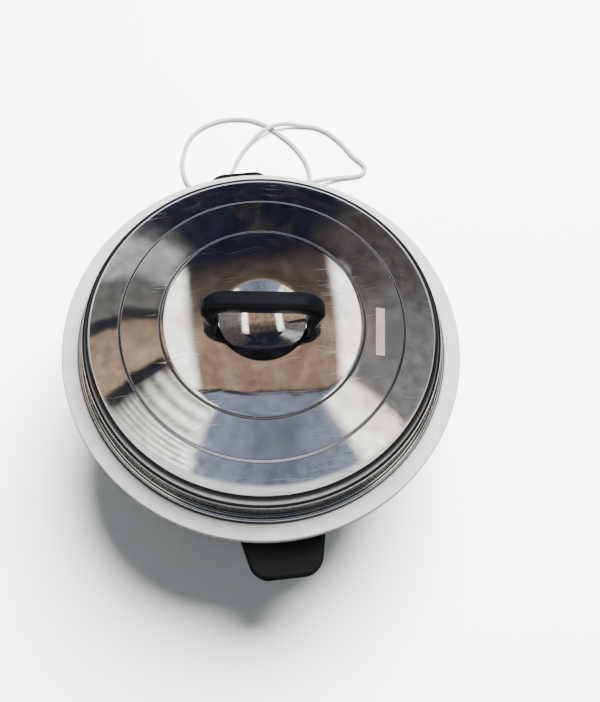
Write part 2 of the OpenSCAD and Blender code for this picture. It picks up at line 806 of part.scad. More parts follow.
module lid_handle_screws() {
    head_z = rim_z + crown_z - lid_t - 1.1;
    color("silver") at_grip_screws() {
        translate([0, 0, head_z - 2.2]) cylinder(r = 3.8, h = 2.2);
        translate([0, 0, head_z - 0.1]) cylinder(r = m4_r, h = 13);
    }
}

// Blank film label that lies on the lid's inner terrace
module lid_label() {
    low_r = step_1_r - riser_half_w;
    high_r = step_2_r + riser_half_w;
    lift = 0.05;
    film_t = 0.2;
    color("mistyrose") intersection() {
        translate([0, 0, rim_z]) rotate_extrude() polygon([
            [low_r, terrace_2_low_z + lift], [high_r, terrace_2_z + lift],
            [high_r, terrace_2_z + lift + film_t], [low_r, terrace_2_low_z + lift + film_t]]);
        translate([91.7, -18.5, rim_z + 30]) rotate([0, 0, -9.75])
            translate([-3.5, -20.5, 0]) cube([7, 41, 15]);
    }
}

casing_shell();
casing_seal();
base_plate();
base_screws();
rubber_feet();
foot_screws();
insulation_blanket();
side_handle_front();
side_handle_rear();
handle_screws();
heating_plate();
heating_element();
element_clamps();
clamp_screws();
heat_shield();
plate_posts();
post_screws();
sensor_bulb();
sensor_capillary();
thermal_fuse();
control_panel();
panel_screws();
dial_plate();
thermostat_body();
thermostat_nut();
pilot_lamp_lens();
pilot_lamp_body();
terminal_block();
terminal_screws();
internal_wires();
earth_stud();
cord_gland();
supply_cord();
cord_coil();
cord_tail();
plug_body();
plug_pins();
control_knob();
knob_spindle();
knob_pointer();
wax_pan();
pan_rim();
lid_shell();
lid_handle();
lid_handle_screws();
lid_handle_washers();
lid_label();
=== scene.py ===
# %% [markdown]
# # A salon wax warmer with a mirror-polished lid
#
# A round electric pot keeps depilation wax soft. From the table up it is a brushed steel casing on
# rubber feet with two moulded handles and a control panel, a lift-out aluminium pan with a wide
# matte flange, and a pressed steel lid with two steps, a finger dish and a bridge handle. A thin
# white cord leaves the back. The design itself comes packed and is not changed here: this lesson
# builds the surfaces that a hand and an eye would meet, and puts a finish on everything else.

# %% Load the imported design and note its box
import bmesh
import bpy
import json
import math
from mathutils import Euler, Matrix, Quaternion, Vector


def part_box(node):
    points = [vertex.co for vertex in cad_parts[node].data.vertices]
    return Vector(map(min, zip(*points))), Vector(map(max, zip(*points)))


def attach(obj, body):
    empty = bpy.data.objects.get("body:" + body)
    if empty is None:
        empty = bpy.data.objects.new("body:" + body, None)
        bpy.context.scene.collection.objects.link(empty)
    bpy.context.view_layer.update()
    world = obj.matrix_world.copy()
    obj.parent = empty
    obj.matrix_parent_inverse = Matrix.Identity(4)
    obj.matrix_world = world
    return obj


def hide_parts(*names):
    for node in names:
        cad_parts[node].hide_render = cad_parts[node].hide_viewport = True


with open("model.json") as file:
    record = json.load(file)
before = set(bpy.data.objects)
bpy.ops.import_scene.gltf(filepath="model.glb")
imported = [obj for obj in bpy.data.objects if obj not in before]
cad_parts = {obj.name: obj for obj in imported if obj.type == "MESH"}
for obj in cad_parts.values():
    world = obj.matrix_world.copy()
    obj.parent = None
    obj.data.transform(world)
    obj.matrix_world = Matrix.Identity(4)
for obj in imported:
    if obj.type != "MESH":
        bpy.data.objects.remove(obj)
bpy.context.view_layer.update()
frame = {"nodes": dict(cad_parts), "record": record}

# %% [markdown]
# ## Places worked out from the design
#
# All the round pieces stand on one upright axis through the origin, so a few radii and heights say
# where everything is. They are read from the boxes of the imported parts, so that a piece made here
# cannot drift away from the part it stands for. Only the ledge's depth and the casing's foot
# radius are given, because no box has them.

# %% Driving heights and radii
MM = 0.001
rim_low, rim_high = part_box("pan_rim")
rim_z = rim_high.z
rim_r = rim_high.x
lip_z = rim_low.z
ledge_z = rim_z - 2.15 * MM
casing_low, casing_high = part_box("casing_shell")
casing_z0, casing_z1 = casing_low.z, casing_high.z
casing_r0, casing_r1 = 136 * MM, casing_high.x
pan_low, pan_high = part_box("wax_pan")
grip_low, grip_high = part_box("lid_handle")
panel_low, panel_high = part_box("control_panel")
knob_low, knob_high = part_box("control_knob")
knob_z = (knob_low.z + knob_high.z) / 2


def casing_r(z):
    """Outer radius of the casing at height z."""
    return casing_r0 + (casing_r1 - casing_r0) * (z - casing_z0) / (casing_z1 - casing_z0)


print("flange top", round(rim_z, 4), "flange radius", round(rim_r, 4))

# %% [markdown]
# ## Camera
#
# The camera looks steeply down from the front, close enough that the lid's rings are ellipses that
# crowd together towards the back. It is set by where it stands, what it looks at and a small roll.

# %% Camera
camera = bpy.data.objects.new("camera", bpy.data.cameras.new("camera"))
bpy.context.scene.collection.objects.link(camera)
bpy.context.scene.camera = camera
camera.location = (-0.0427, -0.2757, 0.7738)
look_at = Vector((-0.0014, -0.0151, 0.14))
roll = math.radians(2.65)
camera.rotation_mode = "QUATERNION"
aimed = (look_at - camera.location).to_track_quat("-Z", "Y")
camera.rotation_quaternion = aimed @ Quaternion((0, 0, 1), roll)
camera.data.lens = 42.5
camera.data.sensor_width = 36
camera.data.shift_x = 0.0541
camera.data.shift_y = 0.0100
camera.data.clip_start = 0.02
camera.data.clip_end = 50
print("camera to pot:", round((camera.location - look_at).length, 3), "m")

# %% [markdown]
# ## Hand tools
#
# These few helpers are what a person does over and over: clear the selection, pick edges or faces
# by where they are, draw a half section point by point and spin it, bevel, cut, and put the
# finished piece down with its place in its mesh.


# %% Selecting and settling
def clear_selection():
    """Back to object mode with nothing selected."""
    if bpy.context.mode != "OBJECT":
        bpy.ops.object.mode_set(mode="OBJECT")
    bpy.ops.object.select_all(action="DESELECT")


def take(piece):
    """Makes piece the only selected and the active object."""
    clear_selection()
    piece.select_set(True)
    bpy.context.view_layer.objects.active = piece


def edit(piece):
    take(piece)
    bpy.ops.object.mode_set(mode="EDIT")


def pick(piece, kind, wanted):
    """In edit mode, selects only the verts, edges or faces for which wanted says yes."""
    modes = {"verts": "VERT", "edges": "EDGE", "faces": "FACE"}
    bpy.ops.mesh.select_mode(type=modes[kind])
    bpy.ops.mesh.select_all(action="DESELECT")
    mesh = bmesh.from_edit_mesh(piece.data)
    found = [item for item in getattr(mesh, kind) if wanted(item)]
    for item in found:
        item.select_set(True)
    mesh.select_flush_mode()
    bmesh.update_edit_mesh(piece.data)
    return len(found)


def settle(piece):
    """Puts the piece's place, turn and size into its mesh."""
    take(piece)
    bpy.ops.object.transform_apply(location=True, rotation=True, scale=True)
    return piece


def middle(edge):
    return (edge.verts[0].co + edge.verts[1].co) / 2


# %% Adding and spinning
def block(name, low, high):
    """A box between two corners, as the start of a piece."""
    clear_selection()
    size = Vector(high) - Vector(low)
    bpy.ops.mesh.primitive_cube_add(size=1, location=(Vector(high) + Vector(low)) / 2, scale=size)
    piece = bpy.context.object
    piece.name = name
    return settle(piece)


def arc(centre, radius, start, end, steps):
    """Points of an arc in a half section, in degrees, both ends included."""
    angles = [math.radians(start + (end - start) * i / steps) for i in range(steps + 1)]
    return [(centre[0] + radius * math.cos(a), centre[1] + radius * math.sin(a)) for a in angles]


def chain(name, points):
    """Draws a chain of edges through (across, up) points in metres, one extrusion at a time."""
    clear_selection()
    bpy.ops.mesh.primitive_plane_add(size=MM)
    piece = bpy.context.object
    piece.name = name
    bpy.ops.object.mode_set(mode="EDIT")
    bpy.ops.mesh.select_mode(type="VERT")
    bpy.ops.mesh.select_all(action="SELECT")
    bpy.ops.mesh.merge(type="CENTER")
    here = points[0]
    bpy.ops.transform.translate(value=(here[0], 0, here[1]))
    for point in points[1:]:
        step = (point[0] - here[0], 0, point[1] - here[1])
        bpy.ops.mesh.extrude_vertices_move(TRANSFORM_OT_translate={"value": step})
        here = point
    return piece


def close_up():
    """Merges doubles and turns all faces outwards."""
    bpy.ops.mesh.select_all(action="SELECT")
    bpy.ops.mesh.remove_doubles(threshold=0.00002)
    bpy.ops.mesh.normals_make_consistent(inside=False)


def turned(name, points, steps=192):
    """A round piece: its half section spun once round the upright axis."""
    piece = chain(name, points)
    bpy.ops.mesh.select_all(action="SELECT")
    bpy.ops.mesh.spin(steps=steps, angle=math.tau, center=(0, 0, 0), axis=(0, 0, 1))
    close_up()
    clear_selection()
    return piece


# %% Bevelling, thickening, cutting and smoothing
def apply_modifier(piece, kind, **settings):
    """Adds a modifier and applies it at once."""
    take(piece)
    modifier = piece.modifiers.new(kind.lower(), kind)
    for name, value in settings.items():
        setattr(modifier, name, value)
    bpy.ops.object.modifier_apply(modifier=modifier.name)
    return piece


def combine(piece, other, operation):
    """Joins other to piece, or cuts it away, and throws other away."""
    apply_modifier(piece, "BOOLEAN", object=other, operation=operation, solver="EXACT")
    bpy.data.objects.remove(other)
    return piece


def smooth(piece, angle=35):
    take(piece)
    bpy.ops.object.shade_smooth_by_angle(angle=math.radians(angle))
    return piece


def hand_over(piece, body, slot, *nodes):
    """The piece rides on a body, takes a finish by its slot and stands for the named parts."""
    settle(piece)
    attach(piece, body)
    if nodes:
        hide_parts(*nodes)
    piece.data.materials.clear()
    piece.data.materials.append(finishes[slot])
    faces = len(piece.data.polygons) if piece.type == "MESH" else 0
    print(f"{piece.name}: {faces} faces, on {body}")
    return piece


# %% [markdown]
# ## Finishes
#
# A finish is a Principled shader with slow and fine variation. Noise sets the colour's drift and
# the roughness, and fine noise lifts or sinks the surface a few microns. Everything is laid out in
# the object's own metres, so a grain has its real size on every piece.


# %% Node helpers
def add(tree, kind, inputs=None, **settings):
    """Adds a node, sets its settings and then its inputs by name or number."""
    node = tree.nodes.new("ShaderNode" + kind)
    for name, value in settings.items():
        setattr(node, name, value)
    for name, value in (inputs or {}).items():
        if isinstance(value, bpy.types.NodeSocket):
            tree.links.new(value, node.inputs[name])
        else:
            node.inputs[name].default_value = value
    return node


def maths(tree, operation, first, second=0.0, third=0.0, clamp=False):
    node = add(tree, "Math", {0: first, 1: second, 2: third}, operation=operation, use_clamp=clamp)
    return node.outputs[0]


def times(tree, first, second):
    return maths(tree, "MULTIPLY", first, second)


def plus(tree, first, second, clamp=False):
    return maths(tree, "ADD", first, second, clamp=clamp)


def ramp(tree, value, *stops):
    """Maps a number to a colour or grey through (place, colour) stops."""
    node = add(tree, "ValToRGB", {0: value})
    elements = node.color_ramp.elements
    while len(elements) < len(stops):
        elements.new(0.5)
    for element, (place, colour) in zip(elements, stops):
        element.position = place
        grey = (colour, colour, colour) if isinstance(colour, (int, float)) else colour
        element.color = (*grey, 1)
    return node.outputs[0]


def spread(tree, value, low, high, new_low=0.0, new_high=1.0):
    """Maps the range low to high onto new_low to new_high, held at its ends."""
    inputs = {0: value, 1: low, 2: high, 3: new_low, 4: new_high}
    return add(tree, "MapRange", inputs, clamp=True).outputs[0]


def band(tree, value, start, full, fading, gone):
    """1 from full to fading, and 0 before start and after gone."""
    return times(tree, spread(tree, value, start, full), spread(tree, value, fading, gone, 1.0, 0.0))


def both_ends(tree, value, fading, gone, start, full):
    """1 before fading and after full, and 0 from gone to start."""
    low_end = spread(tree, value, fading, gone, 1.0, 0.0)
    return plus(tree, low_end, spread(tree, value, start, full), clamp=True)


def noise(tree, where, scale, detail=3.0, roughness=0.55, distortion=0.0):
    inputs = {"Vector": where, "Scale": scale, "Detail": detail}
    inputs |= {"Roughness": roughness, "Distortion": distortion}
    return add(tree, "TexNoise", inputs).outputs[0]


def mix(tree, share, first, second, blend="MIX"):
    node = add(tree, "Mix", data_type="RGBA", blend_type=blend)
    for index, value in ((0, share), (6, first), (7, second)):
        if isinstance(value, bpy.types.NodeSocket):
            tree.links.new(value, node.inputs[index])
        elif index == 0:
            node.inputs[index].default_value = value
        else:
            node.inputs[index].default_value = (*value, 1)
    return node.outputs[2]


def new_finish(name, metallic=0.0, **sockets):
    """A material with a Principled shader whose named sockets hold plain numbers."""
    material = bpy.data.materials.new(name)
    material.use_nodes = True
    tree = material.node_tree
    shader = tree.nodes["Principled BSDF"]
    shader.inputs["Metallic"].default_value = metallic
    for key, value in sockets.items():
        shader.inputs[key.replace("_", " ")].default_value = value
    return material, tree, shader


def connect(tree, value, shader, socket):
    tree.links.new(value, shader.inputs[socket])


def raise_surface(tree, shader, height, distance):
    """Bump: height of 1 stands distance metres above height 0."""
    node = add(tree, "Bump", {"Height": height, "Strength": 1.0, "Distance": distance})
    tree.links.new(node.outputs[0], shader.inputs["Normal"])


def own_place(tree):
    """The point on the piece, in its own metres."""
    return add(tree, "TexCoord").outputs["Object"]


def round_place(tree, around, across):
    """A seamless place on a round piece: it changes slowly round it and fast along its section."""
    place = own_place(tree)
    split = add(tree, "SeparateXYZ", {0: place})
    flat = add(tree, "CombineXYZ", {0: split.outputs[0], 1: split.outputs[1]}).outputs[0]
    reach = add(tree, "VectorMath", {0: flat}, operation="LENGTH").outputs["Value"]
    aim = add(tree, "VectorMath", {0: flat}, operation="NORMALIZE").outputs[0]
    turn = add(tree, "SeparateXYZ", {0: aim})
    section = times(tree, plus(tree, reach, split.outputs[2]), across)
    parts = {
        0: times(tree, turn.outputs[0], around),
        1: times(tree, turn.outputs[1], around),
        2: section,
    }
    return add(tree, "CombineXYZ", parts).outputs[0], reach


# %% A general finish for moulded, rubber, ceramic and plain metal parts
def grained(name, colour, metallic, roughness, grain, drift=0.1, lift=0.00002, **sockets):
    """Colour drifts slowly, roughness follows a fine grain, and the grain stands up by lift."""
    material, tree, shader = new_finish(name, metallic, **sockets)
    place = own_place(tree)
    slow = noise(tree, place, 28.0, 4.0)
    fine = noise(tree, place, 1.0 / grain, 3.0, 0.6)
    darker = [c * (1 - drift) for c in colour]
    lighter = [min(1, c * (1 + drift)) for c in colour]
    connect(tree, ramp(tree, slow, (0.3, darker), (0.7, lighter)), shader, "Base Color")
    rough = spread(tree, plus(tree, slow, fine), 0.7, 1.3, roughness * 0.85, roughness * 1.15)
    connect(tree, rough, shader, "Roughness")
    raise_surface(tree, shader, fine, lift)
    return material


def spun_metal(name, colour, roughness, across, lift=0.000006, drift=0.08):
    """Metal with fine marks that run round the piece."""
    material, tree, shader = new_finish(name, 0.9)
    place, reach = round_place(tree, 3.0, across)
    marks = noise(tree, place, 1.0, 4.0, 0.7)
    slow = noise(tree, own_place(tree), 18.0, 3.0)
    both = plus(tree, times(tree, marks, 0.7), times(tree, slow, 0.3))
    darker = [c * (1 - drift) for c in colour]
    lighter = [min(1, c * (1 + drift)) for c in colour]
    connect(tree, ramp(tree, both, (0.35, darker), (0.65, lighter)), shader, "Base Color")
    connect(tree, spread(tree, both, 0.35, 0.65, roughness * 0.8, roughness * 1.25), shader, "Roughness")
    raise_surface(tree, shader, marks, lift)
    return material


finishes = {}
# name, colour, roughness, marks along the section per metre, and sometimes lift
for name, *values in (
    ("casing_steel", (0.58, 0.59, 0.6), 0.3, 2600.0),
    ("pan_aluminium", (0.74, 0.75, 0.76), 0.34, 1500.0, 0.00001),
    ("dial_metal", (0.62, 0.63, 0.64), 0.32, 4000.0),
    ("plate_aluminium", (0.66, 0.67, 0.68), 0.38, 1200.0, 0.00001),
):
    finishes[name] = spun_metal(name, *values)

# name, colour, metallic, roughness, grain in metres, colour drift and lift
for name, *values in (
    ("base_steel", (0.02, 0.02, 0.022), 0.0, 0.5, 0.0007, 0.12, 0.00006),
    ("panel_plastic", (0.008, 0.0085, 0.009), 0.0, 0.5, 0.0005, 0.15, 0.00004),
    ("knob_plastic", (0.006, 0.006, 0.007), 0.0, 0.36, 0.0006, 0.15, 0.00002),
    ("print_white", (0.8, 0.8, 0.78), 0.0, 0.45, 0.0006, 0.03),
    ("foot_rubber", (0.01, 0.01, 0.0105), 0.0, 0.78, 0.0009, 0.2, 0.00006),
    ("seal_silicone", (0.2, 0.2, 0.21), 0.0, 0.55, 0.0012, 0.1, 0.00004),
    ("zinc_steel", (0.56, 0.56, 0.53), 1.0, 0.32, 0.0008, 0.14, 0.00002),
    ("copper", (0.72, 0.34, 0.2), 1.0, 0.34, 0.0007, 0.16, 0.00002),
    ("terminal_brass", (0.72, 0.52, 0.22), 1.0, 0.3, 0.0006, 0.12, 0.00002),
    ("ceramic_white", (0.78, 0.75, 0.68), 0.0, 0.6, 0.0008, 0.05, 0.00004),
    ("wire_sleeve", (0.2, 0.2, 0.24), 0.0, 0.42, 0.0015, 0.2, 0.00001),
    ("lamp_white", (0.78, 0.77, 0.72), 0.0, 0.28, 0.0015, 0.03, 0.00001),
    ("cord_pvc", (0.25, 0.245, 0.22), 0.0, 0.42, 0.0016, 0.05, 0.00003),
    ("plug_pvc", (0.34, 0.335, 0.31), 0.0, 0.46, 0.0008, 0.04, 0.00003),
    ("pin_nickel", (0.66, 0.63, 0.56), 1.0, 0.22, 0.0009, 0.1, 0.00001),
):
    finishes[name] = grained(name, *values)
print("plain finishes:", len(finishes))

# %% [markdown]
# ## Bead-blasted flange
#
# The flange is blasted with fine glass beads, so it is an even light grey with a sparkle of tiny
# dents. A narrow band at its turned-down edge is a little darker and warmer, which draws a thin
# line round the pot, and the recess that the lid sits in is painted dark as painted shade, where
# the lid's edge shades it. One fine noise makes the dents, and the radius says where the dark edge
# band and the painted recess shade are.

# %% Flange finish
material, tree, shader = new_finish("rim_aluminium", 0.6)
place, reach = round_place(tree, 6.0, 300.0)
speckle = noise(tree, own_place(tree), 1500.0, 2.0, 0.7)
cloud = noise(tree, own_place(tree), 60.0, 4.0)
grain = plus(tree, times(tree, speckle, 0.75), times(tree, cloud, 0.25))
blasted = ramp(tree, grain, (0.32, (0.36, 0.375, 0.365)), (0.68, (0.66, 0.68, 0.665)))
# A narrow band at the outer edge is a little darker and warmer.
outer_edge_band = spread(tree, reach, rim_r - 0.9 * MM, rim_r - 0.3 * MM)
# Painted shade: the recess that the lid sits in is painted near-black by radius.
recess_shade = spread(tree, reach, rim_r - 13.4 * MM, rim_r - 12.9 * MM, 1.0, 0.0)
edged = mix(tree, outer_edge_band, blasted, (0.36, 0.31, 0.28))
connect(tree, mix(tree, recess_shade, edged, (0.13, 0.125, 0.12)), shader, "Base Color")
connect(tree, spread(tree, speckle, 0.3, 0.7, 0.5, 0.66), shader, "Roughness")
raise_surface(tree, shader, speckle, 0.00006)
finishes["rim_aluminium"] = material

# %% [markdown]
# ## Mirror-polished lid
#
# The lid is polished to a mirror and then wiped for years. Close up it carries three sorts of
# marks: very fine rings left by the polishing wheel, long curved hairlines from cloths, and cloudy
# smears of wax and soap. The rings and hairlines are bump, and the smears change the roughness, so
# reflections stay readable but never perfectly clean. The lid's upright wall is rougher, and its
# colour is painted a darker streaky grey that stands in for the dark reflections it shows; a painted
# shade line, near black, runs round its foot where it meets the rolled edge. The radius says where
# both are.

# %% Lid finish
material, tree, shader = new_finish("lid_steel", 1.0)
place, reach = round_place(tree, 2.5, 1400.0)
rings = noise(tree, place, 1.0, 3.0, 0.6)
own = own_place(tree)
wander = noise(tree, own, 9.0, 2.0)
hairlines = None
for turn, scale in ((20, 1.0), (75, 1.25), (128, 0.9), (160, 1.1)):
    sway = times(tree, wander, 0.035)
    shifted = add(tree, "VectorMath", {0: own, 1: sway}, operation="ADD").outputs[0]
    laid = add(tree, "Mapping", {"Vector": shifted, "Rotation": (0, 0, math.radians(turn)),
                                 "Scale": (22 * scale, 1100 * scale, 22 * scale)}).outputs[0]
    lines = spread(tree, noise(tree, laid, 1.0, 2.0, 0.5), 0.68, 0.76, 0.0, 1.0)
    hairlines = lines if hairlines is None else maths(tree, "MAXIMUM", hairlines, lines)
smears = noise(tree, own, 24.0, 5.0, 0.6, 0.6)
wiped = times(tree, hairlines, spread(tree, noise(tree, own, 30.0, 2.0), 0.4, 0.6, 0.2, 1.0))
rough = plus(tree, spread(tree, smears, 0.35, 0.7, 0.015, 0.07), times(tree, wiped, 0.2))
lower = spread(tree, reach, 145.4 * MM, 145.7 * MM)
bead = spread(tree, reach, 147.2 * MM, 147.6 * MM)
rubbed_wall = times(tree, maths(tree, "SUBTRACT", lower, bead), 0.22)
connect(tree, plus(tree, rough, rubbed_wall), shader, "Roughness")
clean = ramp(tree, smears, (0.3, (0.7, 0.705, 0.71)), (0.7, (0.6, 0.6, 0.605)))
# Painted reflection: the wall's colour is a darker streaky grey that stands in for the dark reflections it
# shows.
drawn, _ = round_place(tree, 70.0, 6.0)
painted_wall_reflection = ramp(tree, noise(tree, drawn, 1.0, 3.0, 0.7), (0.35, (0.2, 0.205, 0.195)), (0.65, (0.29, 0.295, 0.28)))
# Painted shade: a near-black band where the wall meets the rolled edge.
painted_crease_shade = band(tree, reach, 146.3 * MM, 146.6 * MM, 147.2 * MM, 147.6 * MM)
edged = mix(tree, painted_crease_shade, mix(tree, lower, clean, painted_wall_reflection), (0.05, 0.046, 0.043))
connect(tree, mix(tree, bead, edged, clean), shader, "Base Color")
height = plus(tree, times(tree, rings, 0.25), wiped)
raise_surface(tree, shader, height, 0.0000035)
finishes["lid_steel"] = material

# %% [markdown]
# ## Black handles
#
# Lid and side handles are moulded in a heat-proof phenolic resin. It is nearly black with a touch
# of blue, satin, with a faint orange-peel from the mould and a little dust in the surface.

# %% Handle finish
material, tree, shader = new_finish("handle_phenolic", 0.0, Specular_IOR_Level=0.3)
own = own_place(tree)
peel = noise(tree, own, 420.0, 2.0)
dust = spread(tree, noise(tree, own, 2600.0, 2.0, 0.7), 0.64, 0.72, 0.0, 1.0)
moulded = ramp(tree, noise(tree, own, 40.0, 3.0),
               (0.3, (0.0008, 0.001, 0.0013)), (0.7, (0.0016, 0.0019, 0.0024)))
dusty = mix(tree, times(tree, dust, 0.25), moulded, (0.008, 0.008, 0.008))
connect(tree, dusty, shader, "Base Color")
connect(tree, spread(tree, peel, 0.35, 0.65, 0.34, 0.46), shader, "Roughness")
raise_surface(tree, shader, peel, 0.00003)
finishes["handle_phenolic"] = material

# %% [markdown]
# ## Lamp, wool, heater sheath and film
#
# Four finishes that follow no general rule: the pilot lamp's clear red lens, the mineral wool
# between casing and pan, the heater's sheath that has run red-hot and gone blue and brown, and the
# thin clear film on the lid, which carries only a faint warm bloom where a print has worn away.

# %% Pilot lamp lens
material, tree, shader = new_finish("lamp_red", 0.0, Transmission_Weight=0.55, Roughness=0.12, IOR=1.49)
own = own_place(tree)
clear_red = ramp(tree, noise(tree, own, 300.0, 2.0),
                 (0.3, (0.55, 0.012, 0.008)), (0.7, (0.75, 0.03, 0.015)))
connect(tree, clear_red, shader, "Base Color")
raise_surface(tree, shader, add(tree, "TexVoronoi", {"Vector": own, "Scale": 900.0}).outputs[0], 0.0001)
finishes["lamp_red"] = material

# %% Mineral wool
material, tree, shader = new_finish("mineral_wool", 0.0, Roughness=0.95)
own = own_place(tree)
stretched = add(tree, "Mapping", {"Vector": own, "Scale": (240, 240, 1500)}).outputs[0]
fibres = noise(tree, stretched, 1.0, 6.0, 0.75, 1.5)
connect(tree, ramp(tree, fibres, (0.3, (0.36, 0.3, 0.16)), (0.7, (0.76, 0.68, 0.46))), shader, "Base Color")
raise_surface(tree, shader, fibres, 0.0008)
finishes["mineral_wool"] = material

# %% Heater sheath
material, tree, shader = new_finish("element_sheath", 1.0)
own = own_place(tree)
heat = noise(tree, own, 22.0, 4.0, 0.6)
tints = ((0.3, (0.12, 0.11, 0.11)), (0.45, (0.22, 0.17, 0.14)), (0.55, (0.16, 0.17, 0.24)),
         (0.7, (0.34, 0.31, 0.28)))
connect(tree, ramp(tree, heat, *tints), shader, "Base Color")
connect(tree, spread(tree, heat, 0.3, 0.7, 0.38, 0.6), shader, "Roughness")
raise_surface(tree, shader, noise(tree, own, 900.0), 0.00003)
finishes["element_sheath"] = material

# %% Label film
material, tree, shader = new_finish("label_film", 0.0, Coat_Weight=0.4)
own = own_place(tree)
film_turn = math.radians(-9.75)
film_middle = Vector((91.7 * MM, -18.5 * MM, 0))
film_across = Vector((math.cos(film_turn), math.sin(film_turn), 0))
off = add(tree, "VectorMath", {0: own, 1: film_across}, operation="DOT_PRODUCT").outputs["Value"]
off = maths(tree, "ABSOLUTE", maths(tree, "SUBTRACT", off, film_middle.dot(film_across)))
column = maths(tree, "ABSOLUTE", maths(tree, "SUBTRACT", off, 1.5 * MM))
worn = spread(tree, column, 0.6 * MM, 0.9 * MM, 1.0, 0.0)
flecks = spread(tree, noise(tree, own, 1300.0, 2.0, 0.6), 0.46, 0.54, 0.0, 0.8)
film = ramp(tree, noise(tree, own, 90.0), (0.3, (0.07, 0.066, 0.064)), (0.7, (0.11, 0.104, 0.1)))
printed = mix(tree, times(tree, worn, flecks), film, (0.11, 0.022, 0.018))
connect(tree, printed, shader, "Base Color")
connect(tree, spread(tree, worn, 0.0, 1.0, 0.3, 0.45), shader, "Roughness")
finishes["label_film"] = material
print("all finishes:", len(finishes))

# %% [markdown]
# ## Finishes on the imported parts
#
# The design's own parts keep their shape. Each gets the finish that its material slot names, so
# the screws, heater, thermostat and wiring look right when the pan is lifted out.

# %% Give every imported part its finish
for row in frame["record"]["subparts"]:
    part = frame["nodes"][row["node"]]
    part.data.materials.clear()
    part.data.materials.append(finishes[row["material_slot"]])
print("parts with a finish:", len(frame["nodes"]))

# %% [markdown]
# ## The cord
#
# A thin white cord, 4.4 mm across, leaves the back of the casing through a
# tapered sleeve, drops to the table and lies in two loose loops that cross each other. Where it
# crosses itself it rises in a long low hump. What is left over is wound into a small coil behind
# the pot, and it ends in a flat two-pin plug. It is one curve through points listed one by one, with
# the coil's turns worked out by a loop.

# %% The cord's route, in metres
cord_d = 0.0044
route = [
    (0.058, 0.160, 0.018), (0.062, 0.171, 0.018), (0.066, 0.183, 0.014), (0.071, 0.198, 0.007),
    (0.077, 0.217, 0.0026), (0.083, 0.238, 0.0022), (0.085, 0.262, 0.0022), (0.078, 0.285, 0.0022),
    (0.059, 0.312, 0.0022), (0.036, 0.332, 0.0022), (0.009, 0.339, 0.0022), (-0.018, 0.335, 0.0022),
    (-0.040, 0.320, 0.0022), (-0.051, 0.297, 0.0022), (-0.054, 0.274, 0.0022), (-0.047, 0.252, 0.0022),
    (-0.027, 0.239, 0.0022), (-0.007, 0.250, 0.0022), (0.003, 0.273, 0.0022), (0.021, 0.300, 0.003),
    (0.041, 0.316, 0.007), (0.060, 0.323, 0.007), (0.083, 0.322, 0.003), (0.104, 0.316, 0.0022),
    (0.124, 0.297, 0.0022), (0.138, 0.273, 0.0022), (0.146, 0.263, 0.0022), (0.148, 0.256, 0.0022),
    (0.144, 0.250, 0.0022), (0.137, 0.248, 0.0022), (0.119, 0.247, 0.003), (0.100, 0.244, 0.0066),
    (0.083, 0.241, 0.007), (0.062, 0.235, 0.004), (0.042, 0.226, 0.0022), (0.022, 0.216, 0.0022),
    (0.004, 0.2114, 0.0022),
]
coil_middle = Vector((-0.014, 0.184, 0))
low_layer = cord_d / 2
coil_ring = 0.025
outer_turn = coil_ring + cord_d / 2
coil_turns = 3.125
points_per_turn = 16


def eased(t, start, end):
    """0 before start, 1 after end, and a smooth change between them."""
    s = min(1, max(0, (t - start) / (end - start)))
    return s * s * (3 - 2 * s)


def coil_point(t):
    """The cord after t turns: in to the inner ring, up a layer, and out to the outer ring."""
    radius = outer_turn - cord_d * (eased(t, 0.917, 1.0) - eased(t, 2.694, 2.806))
    height = low_layer + cord_d * eased(t, 1.806, 1.917)
    angle = math.radians(90) + math.tau * t
    return coil_middle + Vector((radius * math.cos(angle), radius * math.sin(angle), height))


coil_steps = round(coil_turns * points_per_turn)
coil = [coil_point(i / points_per_turn) for i in range(coil_steps + 1)]
plug_way = Vector((math.cos(math.radians(225)), math.sin(math.radians(225)), 0))
tail_length = 0.020
plug_start = coil[-1] + tail_length * plug_way
plug_start.z = 0.0137 / 2
tail = [coil[-1].lerp(plug_start, 0.5), plug_start]
print("route points", len(route), "coil points", len(coil))

# %% Draw the cord as one smooth curve
cord_points = [Vector(p) for p in route] + coil + tail
cord_line = bpy.data.curves.new("mains_cord", "CURVE")
cord_line.dimensions = "3D"
cord_line.resolution_u = 6
cord_line.bevel_depth = 1.0
cord_line.bevel_resolution = 4
cord_line.use_fill_caps = True
spline = cord_line.splines.new("BEZIER")
spline.bezier_points.add(len(cord_points) - 1)
for knot, point in zip(spline.bezier_points, cord_points):
    knot.co = point
    knot.radius = cord_d / 2
    knot.handle_left_type = knot.handle_right_type = "AUTO"
cord = bpy.data.objects.new("mains_cord", cord_line)
bpy.context.scene.collection.objects.link(cord)
bpy.context.view_layer.update()
# A curve swings a little past its knots, so no handle may dip below a cord that lies flat.
for knot in spline.bezier_points:
    knot.handle_left_type = knot.handle_right_type = "FREE"
    knot.handle_left.z = max(knot.handle_left.z, cord_d / 2)
    knot.handle_right.z = max(knot.handle_right.z, cord_d / 2)
cord_length = sum((b - a).length for a, b in zip(cord_points, cord_points[1:]))
hand_over(cord, "warmer", "cord_pvc", "supply_cord", "cord_coil", "cord_tail")
print("cord length", round(cord_length, 4), "m")

# %% [markdown]
# ## Strain relief
#
# The cord leaves through a soft moulded sleeve that tapers towards the cord, so that a pull or a
# bend spreads over its length. Rings cut into it let it flex. It is a half section spun round and
# then laid along the gland's axis.

